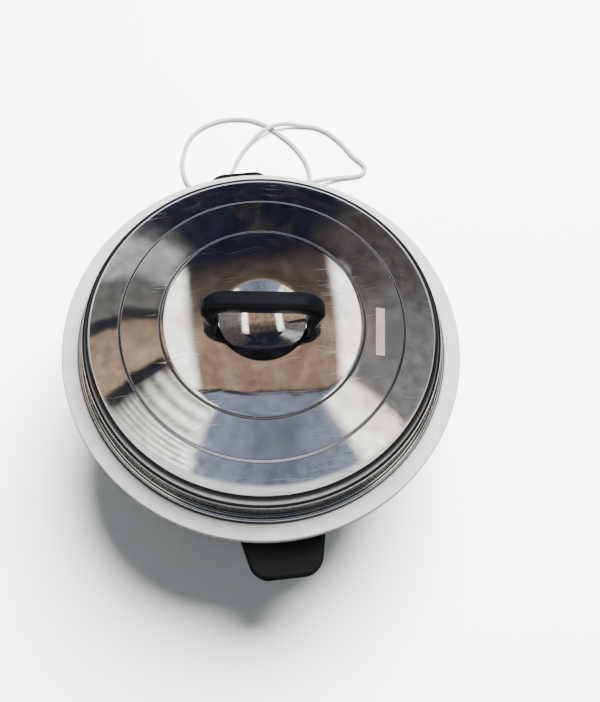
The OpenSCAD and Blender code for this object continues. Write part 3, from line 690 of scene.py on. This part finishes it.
# %% Strain relief
gland_angle = math.atan2(route[0][1], route[0][0])
gland_start = casing_r(route[0][2])
sleeve_end = math.hypot(route[0][0], route[0][1])
sleeve = [(0.0, 0.128), (5.9 * MM, 0.128), (5.9 * MM, gland_start + 2.5 * MM)]
sleeve += [(8.2 * MM, gland_start + 2.5 * MM), (9 * MM, gland_start + 3.2 * MM)]
sleeve += [(9 * MM, gland_start + 4.8 * MM), (8.2 * MM, gland_start + 5.5 * MM)]
ribs = 5
taper_start = gland_start + 5.5 * MM
taper = sleeve_end - taper_start
for i in range(ribs):
    near, far = i / ribs, (i + 0.55) / ribs
    wide, narrow = (5.6 - 2.2 * near) * MM, (5.6 - 2.2 * far) * MM
    sleeve += [(wide, taper_start + near * taper), (narrow, taper_start + far * taper)]
    if i < ribs - 1:
        sleeve += [(narrow - 0.9 * MM, taper_start + (far + 0.02) * taper)]
        sleeve += [(narrow - 1.0 * MM, taper_start + ((i + 1) / ribs - 0.03) * taper)]
sleeve += [(3.2 * MM, sleeve_end - 0.4 * MM), (2.8 * MM, sleeve_end), (0.0, sleeve_end)]
relief = turned("cord_relief", sleeve, 48)
apply_modifier(relief, "BEVEL", width=0.25 * MM, segments=2, limit_method="ANGLE",
               angle_limit=math.radians(40))
relief.rotation_euler = Euler((0, math.radians(90), gland_angle))
relief.location = (0, 0, route[0][2])
hand_over(smooth(relief, 40), "warmer", "cord_pvc", "cord_gland")

# %% [markdown]
# ## The plug
#
# A flat two-pin plug is moulded straight onto the cord: a waist for the fingers, rounded edges all
# round, a few grip ribs on each side and a tapered neck. The body starts as a block, is bevelled
# and squeezed towards the neck, and the neck is a spun piece joined on. The pins are spun too,
# with rounded tips and a collar of the body's plastic at their root.

# %% Plug body, lying along +X from its neck and then put in place
neck_l, body_l, plug_h, half_w = 24 * MM, 34 * MM, 13.7 * MM, 17.6 * MM
face_x = neck_l + body_l
plug = block("plug_body_moulded", (neck_l, -half_w, -plug_h / 2), (face_x, half_w, plug_h / 2))
edit(plug)
bpy.ops.mesh.select_all(action="SELECT")
bpy.ops.mesh.bisect(plane_co=(neck_l + 8 * MM, 0, 0), plane_no=(1, 0, 0))
bpy.ops.mesh.select_all(action="SELECT")
bpy.ops.mesh.bisect(plane_co=(neck_l + 17 * MM, 0, 0), plane_no=(1, 0, 0))
for x, width, height in ((neck_l, 5.4, 0.78), (neck_l + 8 * MM, 11.4, 0.94)):
    pick(plug, "verts", lambda v: abs(v.co.x - x) < 0.1 * MM)
    bpy.ops.transform.resize(value=(1, width * MM / half_w, height), center_override=(x, 0, 0))
pick(plug, "edges", lambda e: abs(e.verts[0].co.x - e.verts[1].co.x) > MM and e.calc_face_angle(0) > 1)
bpy.ops.mesh.bevel(offset=4.4 * MM, segments=5, affect="EDGES", clamp_overlap=True)
pick(plug, "edges", lambda e: min(v.co.x for v in e.verts) > face_x - 0.05 * MM)
bpy.ops.mesh.bevel(offset=1.2 * MM, segments=3, affect="EDGES")
clear_selection()
neck = turned("plug_neck", [(0.0, 0.0), (2.9 * MM, 0.0), (3.1 * MM, 0.6 * MM), (4.6 * MM, 19 * MM),
                            (5.2 * MM, 24 * MM), (5.2 * MM, 27 * MM), (0.0, 27 * MM)], 48)
neck.rotation_euler = Euler((0, math.radians(90), 0))
settle(neck)
combine(plug, neck, "UNION")
for side in (-1, 1):
    for i in range(4):
        x = neck_l + (19 + 2.6 * i) * MM
        y = side * half_w
        groove = block("groove", (x, y - 0.7 * MM, -4.6 * MM), (x + 1.2 * MM, y + 0.7 * MM, 4.6 * MM))
        combine(plug, groove, "DIFFERENCE")
plug.rotation_euler = Euler((0, 0, math.radians(225)))
plug.location = plug_start
hand_over(smooth(plug, 40), "warmer", "plug_pvc", "plug_body")

# %% Plug pins
pin_l = 19 * MM
pin_outline = [(0.0, -0.3 * MM), (2 * MM, -0.3 * MM), (2 * MM, 8.4 * MM), (1.86 * MM, 8.6 * MM)]
pin_outline += [(1.86 * MM, 9.0 * MM), (2 * MM, 9.2 * MM)]
pin_outline += [(r * MM, z * MM) for r, z in arc((0, pin_l / MM - 2), 2, 0, 90, 6)]
pins = []
for y in (-9.3, 9.3):
    pin = turned("pin", pin_outline, 40)
    pin.rotation_euler = Euler((0, math.radians(90), 0))
    pin.location = (face_x, y * MM, 0)
    pins.append(settle(pin))
take(pins[0])
pins[1].select_set(True)
bpy.ops.object.join()
pins = pins[0]
pins.name = "plug_pins_turned"
pins.rotation_euler = Euler((0, 0, math.radians(225)))
pins.location = plug_start
hand_over(smooth(pins, 40), "warmer", "pin_nickel", "plug_pins")

# %% [markdown]
# ## The lid
#
# The lid is pressed from one sheet of 0.8 mm steel. From the middle out its section has a shallow
# finger dish, a crown that falls away a little, a step, a flatter terrace, a second step, a
# steeper terrace, a round shoulder, an upright wall and a rolled edge. A mirror shows every kink,
# so each step is a smooth S and the ends of the terraces get extra rings. The half section is
# drawn from arcs and formulas, spun, and then given its thickness inwards.


# %% The lid's half section, in millimetres above the flange
def s_step(start, end, steps=10):
    """A smooth S from one point down to the next, both ends left out."""
    rows = []
    for i in range(1, steps):
        t = i / steps
        left = (1 + math.cos(math.pi * t)) / 2
        rows.append((start[0] + (end[0] - start[0]) * t, end[1] + (start[1] - end[1]) * left))
    return rows


def slope(start, end, hollow=0.25):
    """A terrace that gets a little steeper outwards, with close rings at both ends."""
    shares = (0, 0.02, 0.06, 0.15, 0.3, 0.5, 0.7, 0.85, 0.94, 0.98, 1)
    fall = start[1] - end[1]
    rows = []
    for t in shares:
        drop = fall * ((1 - hollow) * t + hollow * t * t)
        rows.append((start[0] + (end[0] - start[0]) * t, start[1] - drop))
    return rows


crown_top = 43.0
dish_slope = 17.0
dish_curve = 33.5 / math.sin(math.radians(dish_slope))
edge_curve = 8.0
edge_drop = edge_curve * (1 - math.cos(math.radians(dish_slope)))
crown_start = 33.5 + edge_curve * math.sin(math.radians(dish_slope))
dish_low = crown_top - edge_drop - dish_curve * (1 - math.cos(math.radians(dish_slope)))
dish = arc((0, dish_low + dish_curve), dish_curve, -90, -90 + dish_slope, 14)
dish_edge = arc((crown_start, crown_top - edge_curve), edge_curve, 90 + dish_slope, 90, 6)[1:]
crown_end, crown_low = 79.85, 41.4
crown = []
for i in range(1, 19):
    t = i / 18
    out_to = crown_start + (crown_end - crown_start) * t
    crown.append((out_to, crown_top - (crown_top - crown_low) * t ** 1.6))
terrace_2 = slope((82.75, 39.9), (111.95, 37.4), 0.05)
terrace_1 = slope((114.85, 34.9), (138.2, 29.2), 0.1)
shoulder = arc((135.8, 19.5), 10, 76, 0, 14)[1:]
wall = [(145.8, 19.0), (145.8, 12.0), (145.8, 3.0), (145.95, 2.2), (146.35, 1.5), (147.0, 1.1), (147.6, 1.0)]
rolled_edge = arc((149.65, 0), 1.85, 148, -150, 22)
lid_section = dish + dish_edge + crown + s_step(crown[-1], terrace_2[0]) + terrace_2
lid_section += s_step(terrace_2[-1], terrace_1[0]) + terrace_1 + shoulder + wall + rolled_edge
print("rings in the lid:", len(lid_section))

# %% Spin the lid and give it its thickness
lid = turned("lid_polished", [(r * MM, rim_z + z * MM) for r, z in lid_section], 256)
lid_sheet = 0.8 * MM
apply_modifier(lid, "SOLIDIFY", thickness=lid_sheet, offset=-1.0)
hand_over(smooth(lid, 60), "lid", "lid_steel", "lid_shell")

# %% [markdown]
# ## Film on the lid
#
# A narrow film is stuck on the inner terrace, to the right of the handle. It follows the metal,
# so it starts as a fine grid of faces above the lid and is dropped onto it.

# %% Film label
clear_selection()
bpy.ops.mesh.primitive_grid_add(x_subdivisions=8, y_subdivisions=40, size=1)
film = bpy.context.object
film.name = "label_film_worn"
film.location = film_middle + Vector((0, 0, rim_z + 50 * MM))
film.rotation_euler = Euler((0, 0, film_turn))
film.scale = (7 * MM, 41 * MM, 1)
settle(film)
edit(film)
pick(film, "verts", lambda v: v.is_boundary and len(v.link_edges) == 2)
bpy.ops.mesh.bevel(offset=0.8 * MM, segments=3, affect="VERTICES")
clear_selection()
apply_modifier(film, "SHRINKWRAP", target=lid, wrap_method="PROJECT", use_project_z=True,
               use_negative_direction=True, use_positive_direction=False,
               offset=0.06 * MM, wrap_mode="ABOVE_SURFACE")
apply_modifier(film, "SOLIDIFY", thickness=0.12 * MM, offset=1.0)
hand_over(smooth(film, 50), "lid", "label_film", "lid_label")

# %% [markdown]
# ## The lid's bridge handle
#
# The handle is a thick moulded bridge, wide enough for four fingers. Its front outline is drawn
# from straight lines and arcs, filled, pulled out to the handle's depth and rounded strongly on
# every long edge, so that the bar is nearly an oval while the feet stay flat on the lid. The legs
# lean in a little towards their feet.

# %% Bridge handle
grip_turn = math.radians(-7.25)
grip_w, grip_h, grip_d = 48.0, (grip_high.z - grip_low.z) / MM, 15.0
foot_out, foot_in, bar = 46.0, 36.6, 14.0
outer = [(foot_out - 1.8, 0.0), (foot_out - 0.8, 5.0), (grip_w - 0.5, 14.0)]
outer += arc((grip_w - 21, grip_h - 21), 21, 0, 90, 14)
inner = [(foot_in - 2.2, 0.0), (foot_in - 1.6, 6.0)]
inner += arc((foot_in - 10.4, grip_h - bar - 9.2), 9.2, 0, 90, 10)
half = outer + [(0.0, grip_h)]
gap_half = [(0.0, grip_h - bar)] + inner[::-1]
loop = half + [(-x, z) for x, z in half[-2::-1]] + [(-x, z) for x, z in gap_half[::-1]] + gap_half[1:]
loop.append(loop[0])
grip = chain("lid_bridge_handle", [(x * MM, grip_low.z + z * MM) for x, z in loop])
bpy.ops.mesh.select_all(action="SELECT")
bpy.ops.mesh.remove_doubles(threshold=0.00002)
bpy.ops.mesh.select_all(action="SELECT")
bpy.ops.transform.translate(value=(0, -grip_d * MM / 2, 0))
bpy.ops.mesh.edge_face_add()
bpy.ops.mesh.extrude_region_move(TRANSFORM_OT_translate={"value": (0, grip_d * MM, 0)})
close_up()
foot_z = grip_low.z


def long_edge(edge):
    """An edge of the front or back outline that isn't the foot's bottom."""
    flat = abs(edge.verts[0].co.y - edge.verts[1].co.y) < 0.1 * MM
    return flat and max(v.co.z for v in edge.verts) > foot_z + 0.2 * MM


pick(grip, "edges", long_edge)
bpy.ops.mesh.bevel(offset=4.6 * MM, segments=6, affect="EDGES", profile=0.5, clamp_overlap=True)
clear_selection()
grip.rotation_euler = Euler((0, 0, grip_turn))
hand_over(smooth(grip, 40), "lid", "handle_phenolic", "lid_handle")

# %% [markdown]
# ## The pan and its flange
#
# The pan is spun from aluminium sheet and welded to a heavier ring. The ring has a ledge and a
# shallow recess in which the lid's rolled edge sits, a flat flange that the hands lift it by and a
# turned-down edge. Both are closed half sections, spun.

# %% Pan bowl
mouth_r, wall_t, floor_t, corner = 144.5, 1.6, 2.0, 20.0
bowl_low, bowl_top = pan_low.z / MM, pan_high.z / MM
foot_r = 128.0
lean = math.atan((mouth_r + wall_t - foot_r) / (bowl_top - bowl_low))
corner_z = bowl_low + corner
corner_r = foot_r + math.tan(lean) * corner - corner / math.cos(lean)
lean_deg = math.degrees(lean)
bowl = [(0.0, bowl_low), (corner_r * 0.5, bowl_low)]
bowl += arc((corner_r, corner_z), corner, -90, -lean_deg, 14)
bowl += [(mouth_r + wall_t, bowl_top), (mouth_r, bowl_top)]
bowl += arc((corner_r, corner_z), corner - floor_t, -lean_deg, -90, 14)
bowl += [(corner_r * 0.5, bowl_low + floor_t), (0.0, bowl_low + floor_t)]
pan = turned("pan_bowl", [(r * MM, z * MM) for r, z in bowl], 192)
hand_over(smooth(pan, 40), "pan", "pan_aluminium", "wax_pan")

# %% Pan flange
top, lip = rim_z / MM, lip_z / MM
outer_r, recess, ring_t = rim_r / MM, rim_r / MM - 13.5, 1.6
ledge, ledge_low = ledge_z / MM, bowl_top
ring = [(mouth_r, ledge_low), (recess + ring_t, ledge_low), (recess + ring_t, top - ring_t)]
ring += [(outer_r - ring_t, top - ring_t), (outer_r - ring_t, lip + 0.5)]
ring += arc((outer_r - 0.8, lip + 0.8), 0.8, 180, 360, 8)
ring += arc((outer_r - 1.3, top - 1.3), 1.3, 0, 90, 6)
ring += [(outer_r - 4, top), (recess + 5, top)]
ring += arc((recess + 1.6, top - 1.6), 1.6, 90, 180, 8)
ring += [(recess, ledge)] + arc((mouth_r + 1.4, ledge - 1.4), 1.4, 90, 180, 5)
ring.append((mouth_r, ledge_low))
flange = turned("pan_flange", [(r * MM, z * MM) for r, z in ring], 256)
hand_over(smooth(flange, 40), "pan", "rim_aluminium", "pan_rim")

# %% [markdown]
# ## The casing
#
# The casing is a sheet-steel cone with a rolled-in bottom lip. Two shallow grooves are rolled into
# it, one under the handles and one above them, to keep the thin wall stiff and round.


# %% Casing
def groove_at(z, width=5.0, depth=1.1, steps=8):
    """A shallow rolled groove in the casing's wall, centred on height z in millimetres."""
    rows = []
    for i in range(steps + 1):
        t = i / steps
        here = z - width / 2 + width * t
        rows.append((casing_r(here * MM) / MM - depth * math.sin(math.pi * t) ** 2, here))
    return rows


bottom = casing_z0 / MM
skirt = [(122.0, bottom + 0.1), (casing_r0 / MM - 5, bottom)]
skirt += arc((casing_r0 / MM - 3.5, bottom + 3.8), 3.8, -85, -5, 6)
skirt += groove_at(69.0) + groove_at(124.5) + [(casing_r1 / MM, casing_z1 / MM)]
casing = turned("casing_brushed", [(r * MM, z * MM) for r, z in skirt], 192)
casing_sheet = 1.2 * MM
apply_modifier(casing, "SOLIDIFY", thickness=casing_sheet, offset=-1.0)
hand_over(smooth(casing, 40), "warmer", "casing_steel", "casing_shell")


# %% [markdown]
# ## Side handles
#
# The two handles stick out just under the flange, front and back. Each is one moulding: a thick
# tongue that narrows outwards, with round corners and soft edges, slightly dished on top for the
# thumb and hollowed underneath for the fingers, on a foot that is shaped to the casing's cone. The
# rear one is modelled and the front one is its copy, turned half round.


# %% A cutter the shape of the casing
def casing_cutter(extra):
    """A cone a hair larger than the casing, for hollowing what sits against it."""
    clear_selection()
    low, high = casing_z0 - 0.002, casing_z1
    bpy.ops.mesh.primitive_cone_add(vertices=192, radius1=casing_r(low) + extra,
                                    radius2=casing_r(high) + extra, depth=high - low,
                                    location=(0, 0, (high + low) / 2))
    return settle(bpy.context.object)


# %% Rear handle, then the front one as its copy
tab_low, tab_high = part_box("side_handle_rear")
tab_top, tab_t = rim_z - 28.4 * MM, 12 * MM
tab_root, tab_end = 140 * MM, tab_high.y
handle = block("side_handle_back", (-38.4 * MM, tab_root, tab_top - tab_t), (38.4 * MM, tab_end, tab_top))
edit(handle)
pick(handle, "verts", lambda v: v.co.y > tab_end - MM)
bpy.ops.transform.resize(value=(26.5 / 38.4, 1, 1), center_override=(0, tab_end, 0))
pick(handle, "edges", lambda e: min(v.co.y for v in e.verts) > tab_end - MM
     and abs(e.verts[0].co.z - e.verts[1].co.z) > MM)
bpy.ops.mesh.bevel(offset=12.5 * MM, segments=12, affect="EDGES")
pick(handle, "edges", lambda e: e.calc_face_angle(0) > 1.2 and middle(e).y > tab_root + MM)
bpy.ops.mesh.bevel(offset=2.4 * MM, segments=5, affect="EDGES")
pick(handle, "faces", lambda f: f.normal.z > 0.99)
bpy.ops.mesh.inset(thickness=3.5 * MM)
bpy.ops.transform.translate(value=(0, 0, -0.9 * MM))
pick(handle, "faces", lambda f: f.normal.z < -0.99)
bpy.ops.mesh.inset(thickness=7 * MM)
bpy.ops.mesh.extrude_region_move(TRANSFORM_OT_translate={"value": (0, 0, 3.6 * MM)})
clear_selection()
foot = block("foot", (-34 * MM, tab_root, tab_low.z), (34 * MM, 154 * MM, tab_low.z + 32 * MM))
edit(foot)
pick(foot, "edges", lambda e: middle(e).y > 150 * MM
     or (abs(middle(e).x) > 30 * MM and middle(e).y > tab_root + MM))
bpy.ops.mesh.bevel(offset=4 * MM, segments=5, affect="EDGES")
clear_selection()
combine(handle, foot, "UNION")
combine(handle, casing_cutter(0.05 * MM), "DIFFERENCE")
smooth(handle, 40)
take(handle)
bpy.ops.object.duplicate(linked=False)
front_handle = bpy.context.object
front_handle.name = "side_handle_fore"
front_handle.rotation_euler = Euler((0, 0, math.pi))
hand_over(handle, "warmer", "handle_phenolic", "side_handle_rear")
hand_over(front_handle, "warmer", "handle_phenolic", "side_handle_front")

# %% [markdown]
# ## Control panel, knob and dial
#
# The panel is a moulded box on the right-hand side, hollowed to fit the cone. Its face has a soft
# edge and a shallow border. The knob has a round skirt and a bar to hold between finger and thumb,
# cut out of a tapered boss by two scoops.

# %% Panel
panel = block("control_panel_moulded", (115 * MM, panel_low.y, panel_low.z), panel_high)
edit(panel)
pick(panel, "edges", lambda e: abs(e.verts[0].co.x - e.verts[1].co.x) > MM)
bpy.ops.mesh.bevel(offset=8 * MM, segments=10, affect="EDGES")
pick(panel, "edges", lambda e: min(v.co.x for v in e.verts) > panel_high.x - 0.1 * MM)
bpy.ops.mesh.bevel(offset=2 * MM, segments=5, affect="EDGES")
pick(panel, "faces", lambda f: f.normal.x > 0.99)
bpy.ops.mesh.inset(thickness=2.5 * MM)
bpy.ops.mesh.inset(thickness=0.5 * MM, depth=-0.35 * MM)
clear_selection()
combine(panel, casing_cutter(0.05 * MM), "DIFFERENCE")
clear_selection()
hand_over(smooth(panel, 40), "warmer", "panel_plastic", "control_panel")

# %% Knob
skirt_r, knob_h = (knob_high.z - knob_low.z) / 2, knob_high.x - knob_low.x
boss = [(0.0, 0.0), (skirt_r - 0.6 * MM, 0.0), (skirt_r, 0.6 * MM), (skirt_r, 2.6 * MM)]
boss += [((skirt_r / MM - 1.4 + x) * MM, (2.6 + z) * MM) for x, z in arc((0, 0), 1.4, 0, 90, 5)]
boss += [(skirt_r - 2.6 * MM, 4.1 * MM), (skirt_r - 3.1 * MM, 4.6 * MM)]
boss += [(skirt_r - 4.3 * MM, knob_h - 1.6 * MM)]
boss += [((skirt_r / MM - 5.9 + x) * MM, (knob_h / MM - 1.6 + z) * MM) for x, z in arc((0, 0), 1.6, 0, 90, 5)]
boss += [(0.0, knob_h)]
knob = turned("control_knob_moulded", boss, 96)
for side in (-1, 1):
    scoop = block("scoop", (5 * MM, -25 * MM, 6 * MM), (26 * MM, 25 * MM, 30 * MM))
    edit(scoop)
    pick(scoop, "edges", lambda e: middle(e).x < 6 * MM and middle(e).z < 7 * MM)
    bpy.ops.mesh.bevel(offset=3 * MM, segments=6, affect="EDGES")
    clear_selection()
    scoop.rotation_euler = Euler((0, 0, 0 if side > 0 else math.pi))
    combine(knob, settle(scoop), "DIFFERENCE")
apply_modifier(knob, "BEVEL", width=0.5 * MM, segments=3, limit_method="ANGLE", angle_limit=math.radians(50))
knob.matrix_world = Matrix(((0, 0, 1, knob_low.x), (1, 0, 0, 0), (0, 1, 0, knob_z), (0, 0, 0, 1)))
hand_over(smooth(knob, 40), "knob", "knob_plastic", "control_knob")

# %% [markdown]
# ## Studio
#
# The floor is a disc of pale paper, and what the camera sees past it is a plain white backdrop.
# Soft light comes from an even pale sky and one large lamp above the back. A mirror shows the
# room, so reflections get a room of their own: warm wood and a dark beam overhead, tall bright
# windows left and right that open out towards the front, a dark back, and walls that change round
# the pot. Reflections also see a dark bench in place of the paper.

# %% Floor
clear_selection()
bpy.ops.mesh.primitive_circle_add(vertices=128, radius=2.2, fill_type="NGON", location=(0, 0, -0.0003))
floor = bpy.context.object
floor.name = "floor"
material, tree, shader = new_finish("floor_paper", 0.0, Roughness=0.9)
paper = ramp(tree, noise(tree, own_place(tree), 6.0),
             (0.3, (0.84, 0.85, 0.85)), (0.7, (0.855, 0.865, 0.865)))
connect(tree, paper, shader, "Base Color")
floor.data.materials.append(material)

# %% The dark bench that mirrors see in place of the paper
clear_selection()
bpy.ops.mesh.primitive_plane_add(size=8, location=(0, 0, -0.0006))
bench = bpy.context.object
bench.name = "bench_in_mirrors"
material, tree, shader = new_finish("bench_wood", 0.0, Roughness=0.7)
grain = add(tree, "Mapping", {"Vector": own_place(tree), "Scale": (3, 40, 3)}).outputs[0]
dark_wood = ramp(tree, noise(tree, grain, 1.0, 5.0),
                 (0.3, (0.03, 0.025, 0.022)), (0.7, (0.07, 0.06, 0.053)))
connect(tree, dark_wood, shader, "Base Color")
bench.data.materials.append(material)
bench.visible_camera = bench.visible_diffuse = bench.visible_shadow = bench.visible_transmission = False
floor.visible_glossy = False

# %% Soft lamp over the back
lamp_data = bpy.data.lights.new("soft_lamp", "AREA")
lamp_data.shape = "DISK"
lamp_data.size = 1.35
lamp_data.energy = 335
lamp = bpy.data.objects.new("soft_lamp", lamp_data)
bpy.context.scene.collection.objects.link(lamp)
lamp.location = (0.42, 0.74, 1.55)
lamp.rotation_mode = "QUATERNION"
lamp.rotation_quaternion = (Vector((0, 0, 0.1)) - lamp.location).to_track_quat("-Z", "Y")
lamp.visible_glossy = False

# %% The room that the mirror shows
world = bpy.data.worlds.new("studio")
bpy.context.scene.world = world
world.use_nodes = True
tree = world.node_tree
tree.nodes.clear()
overhead = Vector((0.0651, 0.4202, 0.9050)).normalized()
rightwards = (Vector((1, 0, 0)) - overhead.x * overhead).normalized()
backwards = overhead.cross(rightwards)
ray = add(tree, "TexCoord").outputs["Generated"]


def along(axis):
    """How far the ray points along one axis of the room."""
    return add(tree, "VectorMath", {0: ray, 1: axis}, operation="DOT_PRODUCT").outputs["Value"]


stretch = maths(tree, "DIVIDE", 2.0, plus(tree, 1.0001, along(overhead)))
across = maths(tree, "DEGREES", times(tree, along(rightwards), stretch))
back = maths(tree, "DEGREES", times(tree, along(backwards), stretch))
away = maths(tree, "SQRT", plus(tree, times(tree, across, across), times(tree, back, back)))
front_run = maths(tree, "MAXIMUM", 0.0, maths(tree, "SUBTRACT", -8.0, back))
wobble = times(tree, maths(tree, "SUBTRACT", noise(tree, ray, 7.0, 4.0), 0.5), 5.0)


def window(middle_at, opening, half_width, widening, soft=1.6):
    """A tall window: its middle moves out and it widens as it comes to the front."""
    centre = maths(tree, "MULTIPLY_ADD", front_run, opening, middle_at)
    width = maths(tree, "MULTIPLY_ADD", front_run, widening, half_width)
    off = maths(tree, "ABSOLUTE", maths(tree, "SUBTRACT", across, centre))
    edge = maths(tree, "SUBTRACT", off, width)
    return times(tree, spread(tree, edge, 0.0, soft, 1.0, 0.0), spread(tree, back, 6.5, 10.0, 1.0, 0.0))


left_window = window(-11.2, -0.5, 1.3, 0.24, 1.4)
right_window = window(11.4, 0.55, 1.2, 0.14, 1.4)
planks = add(tree, "Mapping", {"Vector": ray, "Scale": (60, 9, 9)}).outputs[0]
boards = noise(tree, planks, 1.0, 5.0, 0.6, 1.2)
wood = ramp(tree, boards, (0.3, (0.4, 0.25, 0.155)), (0.7, (0.62, 0.44, 0.3)))
brown_shade = (0.13, 0.105, 0.09)
cool_grey = (0.34, 0.38, 0.48)
dark_back = (0.018, 0.021, 0.036)
brown_patch = (0.085, 0.07, 0.06)
white = (3.6, 3.5, 3.25)
bent_back = plus(tree, back, wobble)
mottled = spread(tree, noise(tree, ray, 26.0, 4.0, 0.6), 0.3, 0.7, 0.65, 1.4)

# %% The middle of the room, which the crown shows
arch = times(tree, times(tree, across, across), -0.017)
from_beam = plus(tree, plus(tree, bent_back, 9.9), arch)
room = mix(tree, spread(tree, from_beam, -0.3, 0.3), cool_grey, wood)
room = mix(tree, spread(tree, bent_back, -1.0, 3.0), room, brown_shade)
room = mix(tree, spread(tree, bent_back, 6.0, 10.0), room, dark_back)
room = mix(tree, left_window, room, white)
room = mix(tree, right_window, room, white)
beam = maths(tree, "ABSOLUTE", from_beam)
room = mix(tree, spread(tree, beam, 0.25, 0.5, 1.0, 0.0), room, (0.07, 0.065, 0.07))

# %% The walls round it, which both terraces show as sectors
heading = maths(tree, "ARCTAN2", across, times(tree, back, -1.0))
share = maths(tree, "MULTIPLY_ADD", heading, 1 / math.tau, 0.5)
share = plus(tree, share, times(tree, wobble, 0.004))
blinds = spread(tree, maths(tree, "SINE", times(tree, away, 4.5)), -1.0, 1.0, 0.3, 1.0)
left_walls = ramp(
    tree, times(tree, share, 2.0),
    (0.0, dark_back), (0.17, (0.03, 0.034, 0.05)), (0.21, (0.22, 0.22, 0.21)), (0.24, (0.8, 0.82, 0.78)),
    (0.31, (0.6, 0.61, 0.6)), (0.335, (0.2, 0.2, 0.19)), (0.41, (0.26, 0.25, 0.23)),
    (0.418, (0.04, 0.04, 0.05)), (0.445, (0.04, 0.04, 0.05)), (0.453, (0.5, 0.36, 0.25)),
    (0.575, (0.66, 0.48, 0.33)), (0.583, (0.04, 0.04, 0.05)), (0.61, (0.05, 0.05, 0.06)),
    (0.635, (1.5, 1.45, 1.3)), (0.8, white), (0.83, (0.46, 0.51, 0.64)), (1.0, (0.24, 0.27, 0.35)))
right_walls = ramp(
    tree, maths(tree, "MULTIPLY_ADD", share, 2.0, -1.0),
    (0.0, (0.24, 0.27, 0.35)), (0.165, (0.4, 0.44, 0.54)), (0.19, (3.4, 3.2, 2.8)),
    (0.275, (2.6, 2.4, 2.0)), (0.3, (0.34, 0.33, 0.32)), (0.54, (0.26, 0.25, 0.24)),
    (0.6, (0.15, 0.14, 0.135)), (0.78, (0.09, 0.08, 0.08)), (0.84, dark_back), (1.0, dark_back))
walls = mix(tree, spread(tree, share, 0.4999, 0.5001), left_walls, right_walls)
lit = band(tree, share, 0.3, 0.31, 0.4, 0.41)
walls = mix(tree, lit, walls, mix(tree, 1.0, walls, blinds, "MULTIPLY"))
room = mix(tree, spread(tree, away, 15.4, 16.2), room, walls)
patches = spread(tree, noise(tree, ray, 11.0, 5.0, 0.65, 0.8), 0.5, 0.66, 0.0, 0.8)
far_back = both_ends(tree, share, 0.1, 0.14, 0.78, 0.84)
room = mix(tree, times(tree, patches, far_back), room, brown_patch)
room = mix(tree, 1.0, room, mottled, "MULTIPLY")

# %% The bright line and the dark low part, which the shoulder and the wall show
behind = both_ends(tree, share, 0.18, 0.26, 0.74, 0.84)
line = band(tree, away, 41.0, 42.0, 43.5, 44.5)
glow = band(tree, away, 41.0, 44.0, 50.0, 56.0)
low_room = ramp(
    tree, spread(tree, away, 50.0, 130.0),
    (0.0, (0.03, 0.024, 0.02)), (0.4, (0.07, 0.06, 0.055)), (0.65, (0.25, 0.25, 0.26)),
    (1.0, (0.8, 0.8, 0.82)))
low_room = mix(tree, 1.0, low_room, mottled, "MULTIPLY")
room = mix(tree, spread(tree, away, 43.0, 46.0), room, low_room)
room = mix(tree, times(tree, glow, behind), room, (1.5, 1.65, 1.95))
room = mix(tree, line, room, (1.6, 1.6, 1.6))
sky_strength = 0.28
backdrop_strength = 4.5
path = add(tree, "LightPath")
seen = add(tree, "Background", {"Color": room, "Strength": 1.0})
even = add(tree, "Background", {"Color": (0.93, 0.97, 1.0, 1), "Strength": sky_strength})
backdrop = add(tree, "Background", {"Color": (1.0, 1.0, 1.0, 1), "Strength": backdrop_strength})
choice = add(tree, "MixShader", {0: path.outputs["Is Glossy Ray"], 1: even.outputs[0], 2: seen.outputs[0]})
of_view = {0: path.outputs["Is Camera Ray"], 1: choice.outputs[0], 2: backdrop.outputs[0]}
in_view = add(tree, "MixShader", of_view)
add(tree, "OutputWorld", {"Surface": in_view.outputs[0]})
